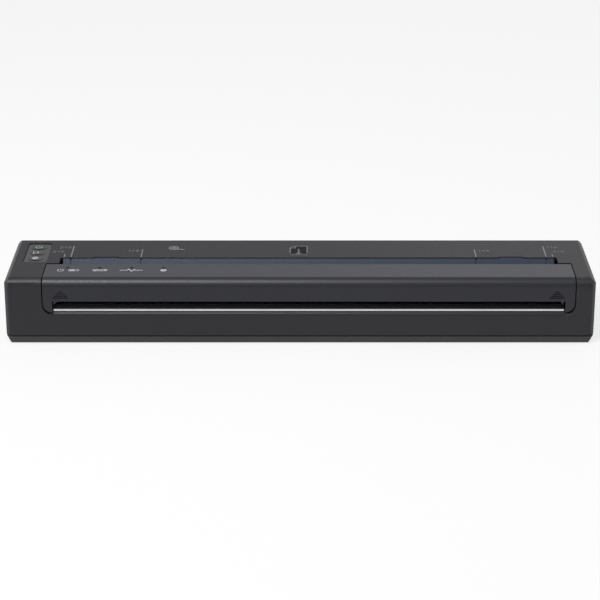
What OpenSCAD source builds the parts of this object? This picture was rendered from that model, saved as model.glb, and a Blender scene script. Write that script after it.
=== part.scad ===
// A4 portable thermal printer: a slim bar-shaped case whose front cover swings up.
// Millimetres. +X is the user's right, +Y is the rear, +Z is up.
// The origin is the middle of the footprint, on the surface that the feet stand on.

/* [Case] */
// Width of the case, end to end
body_w = 255; // [254:1:262]
// Depth of the case, front to rear
body_d = 55; // [55:0.5:58]
// Height of the case with its feet
body_h = 30; // [30:0.2:31]
// Height of the raised marks on the top
mark_proud = 0.2; // [0.1:0.05:0.3]
// Thickness of the case walls
wall = 1.8; // [1.6:0.1:2]
// Radius of the round along the front top edge
front_round = 4.2; // [3.4:0.2:5]
// Radius of the round along the rear top edge
rear_round = 5; // [3:0.5:6]
// Bevel along the top edge of each end
end_bevel = 2.2; // [1.6:0.2:2.8]
// Bevel on each upright corner, measured along the front
corner_bevel = 2.4; // [1.6:0.2:3]
// How far the tray under the seam draws in at its bottom, at the back and the ends
base_draw = 2.4; // [1.4:0.2:3]
// How far it draws in at the front
front_draw = 0.6; // [0.4:0.2:1]
// Height of the seam between the case and its tray
seam_z = 3.7; // [3.5:0.1:3.9]
// Width of the groove at that seam
seam_gap = 0.5; // [0.3:0.1:0.6]
// How far the rubber feet stand out
foot_proud = 0.5; // [0.4:0.1:0.8]
// Radius of a rubber foot
foot_r = 4; // [3:0.5:5]

/* [Paper path] */
// Middle of the paper, right of the middle of the case
paper_x = 3.8; // [3:0.2:4.4]
// How far the platen rubber stops short of the cover's ends
platen_inset = 6.8; // [6.8:0.2:8.4]
// How far the slot at the front stops short of the cover's ends
exit_inset = 4.1; // [3.8:0.1:4.3]
// How far the slot in the top stops short of the cover's ends
entry_inset = 5.3; // [5:0.1:5.8]
// Rear edge of the slot in the top
entry_rear_y = 0.65; // [0.4:0.05:1]
// Top of the slot at the front
exit_top_z = 19.7; // [19.4:0.1:20.2]
// Top of the tear bar
tear_top_z = 16; // [15.6:0.1:16.2]
// Lower edge of the bevel under the slot, on the front face
lip_z = 13; // [12.4:0.1:13.2]
// Size of that bevel
lip_bevel = 1.3; // [1:0.1:1.4]

/* [Release cover] */
// How far the cover stops short of the case at one end, on the mean of both ends
cover_inset = 12.7; // [12.5:0.1:12.9]
// Gap between the cover and the case at the ends and the bottom
cover_gap = 0.4; // [0.3:0.1:0.6]
// Gap behind the cover's rear edge, where it swings
hinge_gap = 1.5; // [1.5:0.1:1.8]
// Rear edge of the cover
cover_rear_y = -7.9; // [-8.2:0.1:-7.9]
// Thickness of the cover's skin
cover_skin = 1.6; // [1.4:0.1:1.7]
// Thickness of the cover's rear edge
cover_edge = 0.6; // [0.5:0.1:0.8]
// Radius of the cover's lower corners
cover_corner = 4; // [3:0.5:5]
// Hinge axis, front to rear
hinge_y = -5; // [-5.1:0.1:-4.9]
// Depth of the hinge axis under the top
hinge_drop = 3.5; // [3.5:0.1:3.6]
// Radius of the hinge pins
hinge_pin_r = 0.9; // [0.7:0.1:0.9]

/* [Platen and head] */
// Radius of the platen rubber
platen_r = 4.5; // [4.3:0.1:4.6]
// Radius of the platen shaft
shaft_r = 2; // [1.6:0.1:2.2]
// Platen axis, front to rear
platen_y = -16; // [-16.2:0.1:-15.8]
// Platen axis, height
platen_z = 21.6; // [21.5:0.1:21.7]
// Gap between the platen and the head when shut
nip_gap = 0.08; // [0.05:0.01:0.12]
// Thickness of the ceramic print head
head_t = 1; // [0.8:0.1:1.2]
// Thickness of the head's aluminium bar
heatsink_t = 3.4; // [3:0.1:3.6]
// Radius of the rod that the head tilts on
head_rod_r = 1.25; // [1:0.05:1.4]

/* [Gears] */
// Teeth on the platen gear
platen_teeth = 20; // [18:1:20]
// Teeth on the idler
idler_teeth = 24; // [22:1:24]
// Teeth on the reduction gear's small wheel
small_teeth = 14; // [12:1:14]
// Teeth on the reduction gear's large wheel
large_teeth = 30; // [26:1:30]
// Teeth on the motor pinion
pinion_teeth = 12; // [11:1:13]

/* [Drive] */
// Radius of the motor can
motor_r = 9; // [8:0.5:9]
// Radius of the studs that the gears run on
stud_r = 1; // [0.8:0.1:1.2]

/* [Keys and lights] */
// Length of a key, along the case
key_len = 6.4; // [5.6:0.2:6.8]
// Width of a key
key_wid = 4.4; // [3.8:0.2:4.8]
// Distance between keys
key_pitch = 7.2; // [6.8:0.2:7.4]
// Travel of a key
key_travel = 0.4; // [0.2:0.1:0.5]
// Depth of the key panel under the top
panel_depth = 0.5; // [0.3:0.1:0.7]
// Radius of an indicator lens
lens_r = 0.8; // [0.6:0.1:1]

/* [Battery] */
// Radius of a battery cell
cell_r = 8.3; // [8:0.1:8.4]
// Length of a battery cell
cell_len = 66; // [64:0.5:67]
// Thickness of the battery's case
pack_wall = 0.8; // [0.6:0.1:0.9]

/* [Hidden] */
$fn = 64;
hull_fn = 32;

shell_black = "#333236";
panel_grey = "#5f5f64";
chute_grey = "#39414d";
steel = "#b9bcc0";
aluminium = "#c9ccd0";
brass_gold = "#c8a24a";
rubber_black = "#161617";
gear_white = "#d9d6cc";
board_green = "#1d5a3c";
chip_black = "#1b1b1d";
cable_white = "#e4e6e8";
cell_green = "#3a7d5c";

// Clearances
slide_fit = 0.15;
run_fit = 0.04;
touch_gap = 0.1;
free_gap = 0.3;

gear_module = 0.5;
thread_r = 0.88;
small_thread_r = 0.68;
thread_slack = 0.02;

// Case
case_top = body_h - mark_proud;
base_z = foot_proud;
half_w = body_w / 2;
half_d = body_d / 2;
floor_z = base_z + wall;
inner_top = case_top - wall;
base_top = seam_z - seam_gap / 2;
case_low = seam_z + seam_gap / 2;
tongue_t = 1;
tongue_top = seam_z + 1.8;
front_in = -half_d + wall;
rear_in = half_d - wall;

// Widths, counted each way from the middle of the paper
cover_half = half_w - cover_inset;
platen_half = cover_half - platen_inset;
exit_half = cover_half - exit_inset;
entry_half = cover_half - entry_inset;

// Release cover
hinge_z = case_top - hinge_drop;
opening_half = cover_half + cover_gap;
opening_rear_y = cover_rear_y + hinge_gap;
opening_low = lip_z + lip_bevel;
cover_low = opening_low + cover_gap;
end_wall_t = 1.4;
end_wall_in = cover_half - end_wall_t;
knuckle_r = hinge_pin_r + 0.55;
neck_angle = 22;
neck_back = 4.1;

// Paper path
nip_z = platen_z - platen_r - nip_gap;
heatsink_top = nip_z - head_t;
heatsink_low = heatsink_top - heatsink_t;
head_half = platen_half + 0.6;
head_front = platen_y - 4.5;
head_rear = platen_y + 5.5;
rod_y = -7.6;
rod_z = heatsink_low + 0.8;
rod_at = [rod_y, rod_z];
plate_t = 1.2;
plate_in = platen_half + 1.6;
plate_out = plate_in + plate_t;
chassis_z = floor_z + 1.3;
chassis_t = 1;
chassis_top = chassis_z + chassis_t;
chassis_front = head_front - 2.5;
chassis_rear = -3.5;
plate_front = head_front - 0.3;
plate_top = platen_z + 0.8;
bushing_r = 3;
bushing_in = plate_in - 0.3;
bushing_out = plate_out + 0.3;
guide_front = front_in + 0.2;
guide_rear = head_front - 0.7;
guide_top = nip_z - 0.5;
chute_half = entry_half - 1.1;
chute_top_y = entry_rear_y - 0.4;
chute_top_z = case_top - 0.45;
chute_edge_y = entry_rear_y - 0.15;
chute_low_y = head_rear + 1.1;
chute_low_z = nip_z + 0.6;
chute_t = 1.4;
mark_insets = [35.5, 4.5, 1.5];
mark_offsets = [for (inset = mark_insets) entry_half - inset];
mark_lengths = [9.6, 13.8, 3.6];
mark_w = 0.55;

// Gears
gear_in = plate_out + 0.6;
gear_out = end_wall_in - 0.4;
lug_in = gear_in - 0.1;
lug_out = end_wall_in - free_gap;
lug_r = hinge_pin_r + 1.1;
big_in = opening_half + 0.4;
big_t = 1.6;
big_out = big_in + big_t;
plate_gear_in = big_out + 0.7;
gear_plate_t = 1;
plate_gear_out = plate_gear_in + gear_plate_t;
hinge_at = [hinge_y, hinge_z];
platen_at = [platen_y, platen_z];
swing_r = norm(hinge_at - platen_at);
swing_dir = [hinge_z - platen_z, platen_y - hinge_y] / swing_r;
idler_at = platen_at + swing_dir * centre_distance(platen_teeth, idler_teeth);
small_tilt = -6;
reduction_at = idler_at
  + [cos(small_tilt), sin(small_tilt)] * centre_distance(idler_teeth, small_teeth);
pinion_tilt = 8;
pinion_at = reduction_at
  + [cos(pinion_tilt), sin(pinion_tilt)] * centre_distance(large_teeth, pinion_teeth);
motor_len = half_w - wall - slide_fit - tongue_t + paper_x - plate_gear_out - free_gap;
motor_shaft_r = 0.75;
motor_shaft_in = 6;
motor_ear = 2;
motor_tilt = -35;
hub_r = 2.2;

// Battery bay
pack_low = floor_z + 0.5;
pack_top = pack_low + 2 * (cell_r + pack_wall) + 0.4;
pack_front = 4.2;
pack_rear = rear_in - 0.8;
pack_left_inset = 24.5;
pack_right_inset = 26.5;
pack_x0 = -half_w + pack_left_inset;
pack_x1 = half_w - pack_right_inset;
pack_len = pack_x1 - pack_x0;
frame_t = 1.2;
frame_front = pack_front - 0.6 - frame_t;
bay_x0 = pack_x0 - 0.4;
bay_x1 = pack_x1 + 0.4;
ceiling_low = pack_top + 1.2;
ceiling_top = ceiling_low + 1;
door_x0 = bay_x0 - 1.1;
door_x1 = bay_x1 + 1.1;
door_low = floor_z + 0.5;
door_high = ceiling_low + 0.1;
door_gap = 0.35;

// Boards
board_t = 1;
board_z = ceiling_top + 0.6;
board_top = board_z + board_t;
board_x0 = bay_x0 - 0.6;
board_x1 = bay_x1 + 14.6;
board_y0 = frame_front + 2;
board_y1 = rear_in - 1.1;
io_x0 = bay_x1 + 3.4;
io_x1 = half_w - wall - 0.4;
io_z = floor_z + 4.2;
io_top = io_z + 1.2;
usb_half = [3.85, 1.95];
usb_at = [6.9, io_top + usb_half[1]];
jack_r = 3.4;
jack_half = 4.3;
jack_at = [usb_at[0] + usb_half[0] + jack_half + 0.3, io_top + jack_half];
io_y0 = usb_at[0] - usb_half[0] - 0.8;
io_y1 = jack_at[0] + jack_half + 0.2;
io_screw_xs = [io_x0 + 2.2, io_x1 - 3];
io_screw_ys = [io_y0 + 2, io_y1 - 2];

// Keys and lights
panel_x = -half_w + 10.9;
panel_y = 7.3;
panel_len = 24.6;
panel_wid = 10.4;
panel_round = 1.8;
panel_top = case_top - panel_depth;
key_ys = [panel_y + key_pitch, panel_y, panel_y - key_pitch];
panel_rim = 1.2;
panel_rim_t = 0.7;
key_flange = 0.5;
key_flange_top = inner_top - panel_rim_t - touch_gap;
key_flange_t = 0.7;
key_low = key_flange_top - key_flange_t;
switch_h = 2.1;
key_board_top = key_low - key_travel - touch_gap - switch_h;
key_board_x = [panel_x - 3.1, panel_x + 2.6];
key_post_r = 1.5;
key_post_ys = [
  panel_y - panel_len / 2 - panel_rim - key_post_r - 0.2,
  panel_y + panel_len / 2 + panel_rim + key_post_r + 0.2
];
key_board_y = [key_post_ys[0] - key_post_r - 0.2, key_post_ys[1] + key_post_r + 0.2];
lens_inset = 9.8;
lens_pitch = 13.95;
lens_xs = [for (i = [0 : 3]) paper_x - cover_half + lens_inset + lens_pitch * i];
lens_y = -12.6;

// Corner screws
boss_r = 2.2;
boss_inset = wall + slide_fit + tongue_t + boss_r + 0.15;
boss_xs = [-half_w + boss_inset, half_w - boss_inset];
boss_ys = [-half_d + boss_inset + 0.8, half_d - boss_inset];
screw_r = 1.1;
foot_x = half_w - 16.5;
foot_y = half_d - 7.9;

// ---- Helpers ----

function centre_distance(a, b) = gear_module * (a + b) / 2;

// Angle of a tooth on the second of two meshing wheels, from the first one's.
function mesh_phase(phase, teeth, next_teeth, direction) =
  direction + 180 + (180 - (phase - direction) * teeth) / next_teeth;

function direction_of(from, to) = atan2(to[1] - from[1], to[0] - from[0]);

// Bevel that is left when the faces on both sides of it move in by t.
function bevel_inside(bevel, t) = max(bevel - t * (2 - sqrt(2)), 0.3);

module block(x, y, z) {
  translate([x[0], y[0], z[0]])
    cube([x[1] - x[0], y[1] - y[0], z[1] - z[0]]);
}

// Extrudes a front-to-rear outline, drawn as [y, z], along X.
module along_x(x0, x1) {
  translate([x0, 0, 0]) rotate([90, 0, 90]) linear_extrude(x1 - x0) children();
}

// Extrudes an outline drawn as [x, z] along Y.
module along_y(y0, y1) {
  translate([0, y1, 0]) rotate([90, 0, 0]) linear_extrude(y1 - y0) children();
}

module along_z(z0, z1) {
  translate([0, 0, z0]) linear_extrude(z1 - z0) children();
}

module rod(at, r, x0, x1) {
  translate([x0, at[0], at[1]]) rotate([0, 90, 0]) cylinder(r = r, h = x1 - x0);
}

module rounded_rect(x, y, r) {
  translate([x[0] + r, y[0]]) square([x[1] - x[0] - 2 * r, y[1] - y[0]]);
  translate([x[0], y[0] + r]) square([x[1] - x[0], y[1] - y[0] - 2 * r]);
  for (cx = [x[0] + r, x[1] - r], cy = [y[0] + r, y[1] - r])
    translate([cx, cy]) circle(r = r);
}

// Draws its children at both ends of the paper path, with X counted outwards
// from the middle of the paper.
module both_ends() {
  translate([paper_x, 0, 0]) {
    children();
    mirror([1, 0, 0]) children();
  }
}

// The drive end only, with X counted the same way.
module drive_end() {
  translate([paper_x, 0, 0]) mirror([1, 0, 0]) children();
}

// ---- Case outline, drawn in by t on every side ----

module side_profile(t) {
  y = half_d - t;
  top = case_top - t;
  rf = front_round - t;
  rr = rear_round - t;
  polygon([
    [-y + front_draw, base_z + t], [y - base_draw, base_z + t],
    [y, base_top], [y, top - rr], [y - rr, top],
    [-y + rf, top], [-y, top - rf], [-y, base_top]
  ]);
  translate([-y + rf, top - rf]) circle(r = rf);
  translate([y - rr, top - rr]) circle(r = rr);
}

module end_profile(t) {
  x = half_w - t;
  top = case_top - t;
  b = bevel_inside(end_bevel, t);
  polygon([
    [-x + base_draw, base_z + t], [x - base_draw, base_z + t],
    [x, base_top], [x, top - b], [x - b, top],
    [-x + b, top], [-x, top - b], [-x, base_top]
  ]);
}

module plan_profile(t) {
  x = half_w - t;
  y = half_d - t;
  b = bevel_inside(corner_bevel, t);
  polygon([
    [-x + b, -y], [x - b, -y], [x, -y + b], [x, y - b],
    [x - b, y], [-x + b, y], [-x, y - b], [-x, -y + b]
  ]);
}

module case_body(t) {
  intersection() {
    along_x(-half_w, half_w) side_profile(t);
    along_y(-half_d, half_d) end_profile(t);
    along_z(0, body_h) plan_profile(t);
  }
}

// ---- Case ----

module cover_opening_outline(low, r) {
  rounded_rect([paper_x - opening_half, paper_x + opening_half], [low, body_h + 5], r);
}

// The bevelled edge under the front slot, which fades out up the round corners.
module lip_cut() {
  hull() {
    along_y(-half_d - 0.1, -half_d)
      cover_opening_outline(lip_z, cover_corner + 1.2, $fn = hull_fn);
    along_y(-half_d + lip_bevel, -half_d + lip_bevel + 0.1)
      cover_opening_outline(opening_low, cover_corner + cover_gap, $fn = hull_fn);
  }
}

module cover_opening() {
  along_y(-half_d - 1, opening_rear_y)
    cover_opening_outline(opening_low, cover_corner + cover_gap);
  block([paper_x - entry_half, paper_x + entry_half], [opening_rear_y - 1, entry_rear_y],
    [chute_low_z, body_h + 1]);
}

// Shallow bays in the slot's rear edge, over the tabs of the paper chute.
tab_half = 5.5;
tab_offset = entry_half - 20;
tab_depth = 1;
module chute_tab_bays() {
  for (s = [-1, 1])
    block([paper_x + s * tab_offset - tab_half, paper_x + s * tab_offset + tab_half],
      [entry_rear_y - 1, entry_rear_y + tab_depth], [inner_top - 1, body_h + 1]);
}

module width_marks() {
  for (i = [0 : len(mark_offsets) - 1], s = [-1, 1])
    block([paper_x + s * mark_offsets[i] - mark_w / 2, paper_x + s * mark_offsets[i] + mark_w / 2],
      [entry_rear_y + 0.5, entry_rear_y + 0.5 + mark_lengths[i]],
      [case_top - 0.3, body_h]);
}

// One lug at each end of the slot, for the cover's hinge pin.
module hinge_lugs() {
  both_ends() {
    rod(hinge_at, lug_r, lug_in, lug_out);
    block([lug_in, lug_out], [hinge_y - lug_r, hinge_y + lug_r], [hinge_z, inner_top + 0.2]);
  }
}

module hinge_lug_bores() {
  both_ends() rod(hinge_at, hinge_pin_r + run_fit, lug_in - 0.1, lug_out + 0.1);
}

module panel_outline(grow) {
  rounded_rect(
    [panel_x - panel_wid / 2 - grow, panel_x + panel_wid / 2 + grow],
    [panel_y - panel_len / 2 - grow, panel_y + panel_len / 2 + grow],
    panel_round + grow);
}

module corner_bosses(z0, z1, r) {
  for (x = boss_xs, y = boss_ys)
    translate([x, y, z0]) cylinder(r = r, h = z1 - z0);
}

module door_cut(grow) {
  block([door_x0 - grow, door_x1 + grow], [rear_in - 0.2, half_d + 1],
    [door_low - grow, door_high + grow]);
}

// A rounded block along X at the height and depth of the small port.
module port_block(half, r, x0, x1) {
  translate([x0, usb_at[0], usb_at[1]]) rotate([90, 0, 90])
    linear_extrude(x1 - x0) rounded_rect([-half[0], half[0]], [-half[1], half[1]], r);
}

module port_holes() {
  port_block(usb_half + [0.35, 0.35], 0.8, half_w - wall - 1, half_w + 1);
  rod(jack_at, jack_r + slide_fit, half_w - wall - 1, half_w + 1);
}

module upper_case() {
  color(shell_black)
  difference() {
    union() {
      difference() {
        intersection() {
          case_body(0);
          block([-half_w, half_w], [-half_d, half_d], [case_low, body_h]);
        }
        case_body(wall);
      }
      intersection() {
        case_body(0);
        corner_bosses(floor_z + 2.6, inner_top + 0.2, boss_r);
      }
      hinge_lugs();
      width_marks();
      intersection() {
        case_body(0);
        key_board_posts(key_board_top, inner_top + 0.2, key_post_r);
      }
    }
    cover_opening();
    lip_cut();
    chute_tab_bays();
    hinge_lug_bores();
    along_z(inner_top - 1, body_h + 1) panel_outline(touch_gap);
    door_cut(door_gap);
    port_holes();
    corner_bosses(floor_z + 2, floor_z + 10, screw_r);
    key_board_posts(key_board_top - 1, key_board_top + 2.6, small_thread_r + thread_slack);
  }
}

module key_board_posts(z0, z1, r) {
  for (y = key_post_ys) translate([panel_x, y, z0]) cylinder(r = r, h = z1 - z0);
}

// The tongue that stands up inside the case all round the seam.
module tray_tongue() {
  root = base_top - 0.6;
  difference() {
    union() {
      intersection() {
        case_body(wall + slide_fit);
        block([-half_w, half_w], [-half_d, half_d], [root, tongue_top]);
      }
      intersection() {
        case_body(wall - 0.1);
        block([-half_w, half_w], [-half_d, half_d], [root, base_top]);
      }
    }
    along_z(0, body_h) plan_profile(wall + slide_fit + tongue_t);
    block([door_x0 - 1, door_x1 + 1], [pack_front, half_d], [0, body_h]);
  }
}

module lower_case() {
  color(shell_black)
  difference() {
    union() {
      difference() {
        intersection() {
          case_body(0);
          block([-half_w, half_w], [-half_d, half_d], [base_z, base_top]);
        }
        case_body(wall);
      }
      tray_tongue();
      corner_bosses(floor_z - 0.2, floor_z + 2.6, boss_r);
      tray_bosses();
    }
    corner_bosses(base_z - 1, floor_z + 3, screw_r + 0.2);
    corner_bosses(base_z - 1, base_z + 1.2, boss_r - 0.1);
    for (x = [-foot_x, foot_x], y = [-foot_y, foot_y])
      translate([x, y, base_z - 1]) cylinder(r = foot_r + touch_gap, h = 1.6);
    block([door_x0 - door_gap, door_x1 + door_gap], [rear_in - base_draw, half_d + 1],
      [door_low - door_gap, body_h]);
    floor_screw_rods(chassis_top - floor_screw_len - 0.2, chassis_top, thread_r + thread_slack);
    io_pillars(io_z - 2.6, io_z + 1, small_thread_r + thread_slack);
  }
}

chassis_screw_offset = plate_in - 9.6;
chassis_screw_xs = [for (x = [-chassis_screw_offset, -36, 36, chassis_screw_offset]) paper_x + x];
chassis_screw_y = chassis_rear - 2.1;
gear_foot_x = paper_x - plate_gear_out - 3.3;
frame_foot_xs = [pack_x0 + 28, pack_x0 + 91, pack_x1 - 21];
frame_foot_y = frame_front - 2.6;
floor_screws = concat(
  [for (x = chassis_screw_xs) [x, chassis_screw_y]],
  [for (y = [-12, -5]) [gear_foot_x, y]],
  [for (x = frame_foot_xs) [x, frame_foot_y]]
);
floor_screw_len = chassis_t + 1.6;

module floor_screw_rods(z0, z1, r) {
  for (p = floor_screws) translate([p[0], p[1], z0]) cylinder(r = r, h = z1 - z0);
}

module io_pillars(z0, z1, r) {
  for (x = io_screw_xs, y = io_screw_ys) translate([x, y, z0]) cylinder(r = r, h = z1 - z0);
}

module tray_bosses() {
  low = floor_z - 0.2;
  floor_screw_rods(low, chassis_z, 2.2);
  io_pillars(low, io_z, 1.4);
  for (x = chassis_screw_xs)
    translate([x, chassis_front + 2.6, low]) cylinder(r = 2, h = chassis_z - low);
  // Rails under the battery
  for (x = [pack_x0 + 12, pack_x1 - 12])
    block([x - 1, x + 1], [pack_front + 1, pack_rear - 4], [low, pack_low - free_gap]);
}

foot_t = 0.6;
module rubber_feet() {
  color(rubber_black)
  for (x = [-foot_x, foot_x], y = [-foot_y, foot_y])
    translate([x, y, 0]) cylinder(r1 = foot_r - 0.4, r2 = foot_r, h = base_z + foot_t);
}

module screw(head_r, head_h, r, h) {
  difference() {
    cylinder(r = head_r, h = head_h);
    for (a = [0, 90])
      rotate([0, 0, a]) translate([-head_r * 0.6, -0.2, -0.1]) cube([head_r * 1.2, 0.4, 0.5]);
  }
  translate([0, 0, head_h]) cylinder(r = r, h = h);
}

module case_screws() {
  color(steel)
  for (x = boss_xs, y = boss_ys)
    translate([x, y, base_z + 0.1]) screw(boss_r - 0.3, 1.1, screw_r - 0.02, 7);
}

// ---- Keys ----

module key_bezel() {
  color(panel_grey)
  difference() {
    union() {
      along_z(inner_top - panel_rim_t, panel_top) panel_outline(0);
      difference() {
        along_z(inner_top - panel_rim_t, inner_top) panel_outline(panel_rim);
        // Clear of the cover's end at the hinge
        block([paper_x - opening_half - free_gap, 0], [-half_d, hinge_y + knuckle_r + free_gap],
          [0, body_h]);
        corner_bosses(0, body_h, boss_r + touch_gap);
      }
    }
    for (y = key_ys)
      translate([panel_x, y, 0]) along_z(inner_top - 2, body_h) key_outline(slide_fit);
  }
}

module key_outline(grow) {
  x = key_len / 2 + grow;
  y = key_wid / 2 + grow;
  rounded_rect([-x, x], [-y, y], y - 0.01);
}

// A key with a low crowned cap, its flange under the panel and its stem.
module key(at_y) {
  crown_r = 12;
  color(panel_grey)
  translate([panel_x, at_y, 0]) {
    intersection() {
      along_z(key_flange_top - 0.1, case_top) key_outline(0);
      translate([0, 0, case_top - crown_r]) rotate([90, 0, 0])
        cylinder(r = crown_r, h = 20, center = true);
    }
    along_z(key_low, key_flange_top) key_outline(key_flange);
  }
}

module power_button() { key(key_ys[0]); }
module feed_button() { key(key_ys[1]); }
module wireless_button() { key(key_ys[2]); }

module key_board() {
  color(board_green)
  difference() {
    block(key_board_x, key_board_y, [key_board_top - board_t, key_board_top]);
    key_board_posts(key_board_top - 2, key_board_top + 1, small_thread_r + 0.2);
  }
}

module key_switches() {
  color(steel)
  for (y = key_ys) translate([panel_x, y, key_board_top]) {
    block([-1.9, 1.9], [-1.9, 1.9], [0, 1.3]);
    cylinder(r = 0.9, h = switch_h);
  }
}

// ---- Release cover ----

module cover_outline() {
  rounded_rect([paper_x - cover_half, paper_x + cover_half], [cover_low, body_h + 5],
    cover_corner);
}

// The part of the case outline, drawn in by t, that belongs to the cover.
module cover_shape(t) {
  intersection() {
    case_body(t);
    along_y(-half_d, cover_rear_y) cover_outline();
  }
}

// Each end wall: from the front face back along the top, and down and round
// the platen's end, with a neck that reaches under the case to the hinge.
module end_wall_outline() {
  front = -half_d + cover_skin - 0.1;
  top = case_top - cover_skin + 0.1;
  back = hinge_y - neck_back;
  collar_r = shaft_r + 1.2;
  polygon([
    [front, exit_top_z - 1.4], [front, case_top - front_round], [-half_d + front_round, top],
    [back, top], [back, hinge_z - neck_back * tan(neck_angle)], hinge_at,
    [hinge_y + 0.4, hinge_z - knuckle_r], [back, hinge_z - 4.2],
    [platen_y + collar_r, platen_z - 2.6], [platen_y, platen_z - collar_r]
  ]);
  translate(hinge_at) circle(r = knuckle_r);
  translate(platen_at) circle(r = collar_r);
}

module finger_marks() {
  rows = 4;
  offset = cover_half - 7.8;
  for (s = [-1, 1], i = [0 : rows - 1]) {
    w = 0.85 * (i + 1);
    z = 24 - 0.9 * i;
    block([paper_x + s * offset - w, paper_x + s * offset + w], [-half_d - 1, -half_d + 0.3],
      [z - 0.22, z + 0.22]);
  }
}

frame_half = plate_in - 0.6;
frame_screw_offset = frame_half - 21;
frame_screw_xs = [for (x = [-frame_screw_offset, -30, 30, frame_screw_offset]) paper_x + x];
frame_screw_y = platen_y - 6.2;

module release_cover() {
  color(shell_black)
  difference() {
    union() {
      difference() {
        cover_shape(0);
        case_body(cover_skin);
      }
      both_ends() along_x(end_wall_in, cover_half) end_wall_outline();
      for (x = frame_screw_xs)
        translate([x, frame_screw_y, frame_top]) cylinder(r = 1.5, h = inner_top - frame_top + 0.4);
    }
    // Front slot, between the ears
    block([paper_x - exit_half, paper_x + exit_half], [-half_d - 1, front_in + 1],
      [cover_low - 1, exit_top_z]);
    // Rear edge, thinned so that it lifts over the case
    along_x(-half_w, half_w)
      polygon([
        [cover_rear_y + 0.1, case_top - cover_edge - 0.1], [cover_rear_y - 1, case_top - cover_skin - 0.1],
        [cover_rear_y + 0.1, case_top - cover_skin - 0.1]
      ]);
    both_ends() rod(hinge_at, hinge_pin_r, end_wall_in - 1, cover_half + 1);
    both_ends() rod(platen_at, shaft_r - 0.5 + run_fit, end_wall_in - 1, cover_half + 1);
    for (x = lens_xs)
      translate([x, lens_y, inner_top - 1]) cylinder(r = lens_r, h = 4);
    finger_marks();
    for (x = frame_screw_xs)
      translate([x, frame_screw_y, frame_top - 1])
        cylinder(r = small_thread_r + thread_slack, h = 2.4);
  }
}

module hinge_pins() {
  color(steel)
  both_ends() rod(hinge_at, hinge_pin_r, lug_in, cover_half);
}

// The inner moulding: a trough over the platen that guides the paper.
frame_low = platen_z + platen_r + 0.4;
frame_top = frame_low + 1.3;

module cover_frame() {
  color(shell_black)
  difference() {
    along_x(paper_x - frame_half, paper_x + frame_half)
      polygon([
        [platen_y - 7.6, exit_top_z + 0.3], [platen_y - 6.4, exit_top_z + 0.3],
        [platen_y - 5.4, frame_low - 1.6], [platen_y - 4, frame_low],
        [platen_y + 4.6, frame_low], [platen_y + 5.2, frame_low - 3.6],
        [platen_y + 6.4, frame_low - 3.6], [platen_y + 6.8, frame_top],
        [platen_y - 7.6, frame_top]
      ]);
    block([lens_xs[0] - 3, lens_xs[3] + 3], [lens_y - 2.2, lens_y + 2.2],
      [frame_top - 0.9, frame_top + 1]);
    for (x = frame_screw_xs)
      translate([x, frame_screw_y, 0]) {
        cylinder(r = 0.8, h = body_h);
        cylinder(r = 1.5, h = frame_low - 0.8);
      }
  }
}

module frame_screws() {
  color(steel)
  for (x = frame_screw_xs)
    translate([x, frame_screw_y, frame_low - 1.6]) screw(1.3, 0.8, small_thread_r, 2.2);
}

module indicator_board() {
  color(board_green)
  block([lens_xs[0] - 2.8, lens_xs[3] + 2.8], [lens_y - 2, lens_y + 2],
    [frame_top - 0.9, frame_top - 0.4]);
}

module indicator_leds() {
  color("white")
  for (x = lens_xs)
    block([x - 0.5, x + 0.5], [lens_y - 0.3, lens_y + 0.3], [frame_top - 0.4, frame_top]);
}

module indicator_lenses() {
  color("#b8bcc2")
  for (x = lens_xs) translate([x, lens_y, 0]) {
    translate([0, 0, frame_top + 0.05]) cylinder(r = lens_r - 0.02, h = case_top - frame_top - 0.15);
  }
}

// ---- Platen ----

module platen_roller() {
  color(rubber_black)
  difference() {
    rod(platen_at, platen_r, paper_x - platen_half, paper_x + platen_half);
    rod(platen_at, shaft_r, -half_w, half_w);
  }
}

module platen_shaft() {
  color(steel) {
    rod(platen_at, shaft_r, paper_x - end_wall_in + touch_gap, paper_x + end_wall_in - touch_gap);
    rod(platen_at, shaft_r - 0.5, paper_x - cover_half + touch_gap, paper_x + cover_half - touch_gap);
  }
}

module platen_bushings() {
  color(gear_white)
  both_ends() difference() {
    rod(platen_at, bushing_r, bushing_in, bushing_out);
    rod(platen_at, shaft_r + run_fit, bushing_in - 1, bushing_out + 1);
  }
}

// ---- Gears, drawn in the plane across X ----

module tooth_outline(teeth) {
  r = gear_module * teeth / 2;
  root = r - 1.15 * gear_module;
  tip = r + 0.85 * gear_module;
  pitch = 360 / teeth;
  half_root = 0.36 * pitch;
  half_tip = 0.105 * pitch;
  polygon([
    for (i = [0 : teeth - 1], p = [[-half_root, root], [-half_tip, tip], [half_tip, tip], [half_root, root]])
      [p[1] * cos(i * pitch + p[0]), p[1] * sin(i * pitch + p[0])]
  ]);
}

// A toothed wheel between x0 and x1, counted outwards at the drive end.
module wheel(at, teeth, phase, x0, x1) {
  drive_end()
    translate([x0, at[0], at[1]]) rotate([90, 0, 90])
      linear_extrude(x1 - x0) rotate(phase) tooth_outline(teeth);
}

module drive_rod(at, r, x0, x1) {
  drive_end() rod(at, r, x0, x1);
}

platen_phase = direction_of(platen_at, idler_at);
idler_phase = mesh_phase(platen_phase, platen_teeth, idler_teeth, direction_of(platen_at, idler_at));
small_phase = mesh_phase(idler_phase, idler_teeth, small_teeth, direction_of(idler_at, reduction_at));
large_phase = direction_of(reduction_at, pinion_at);
pinion_phase = mesh_phase(large_phase, large_teeth, pinion_teeth, large_phase);

module platen_gear() {
  color(gear_white)
  difference() {
    wheel(platen_at, platen_teeth, platen_phase, gear_in, gear_out);
    drive_rod(platen_at, shaft_r, gear_in - 1, gear_out + 1);
  }
}

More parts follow.
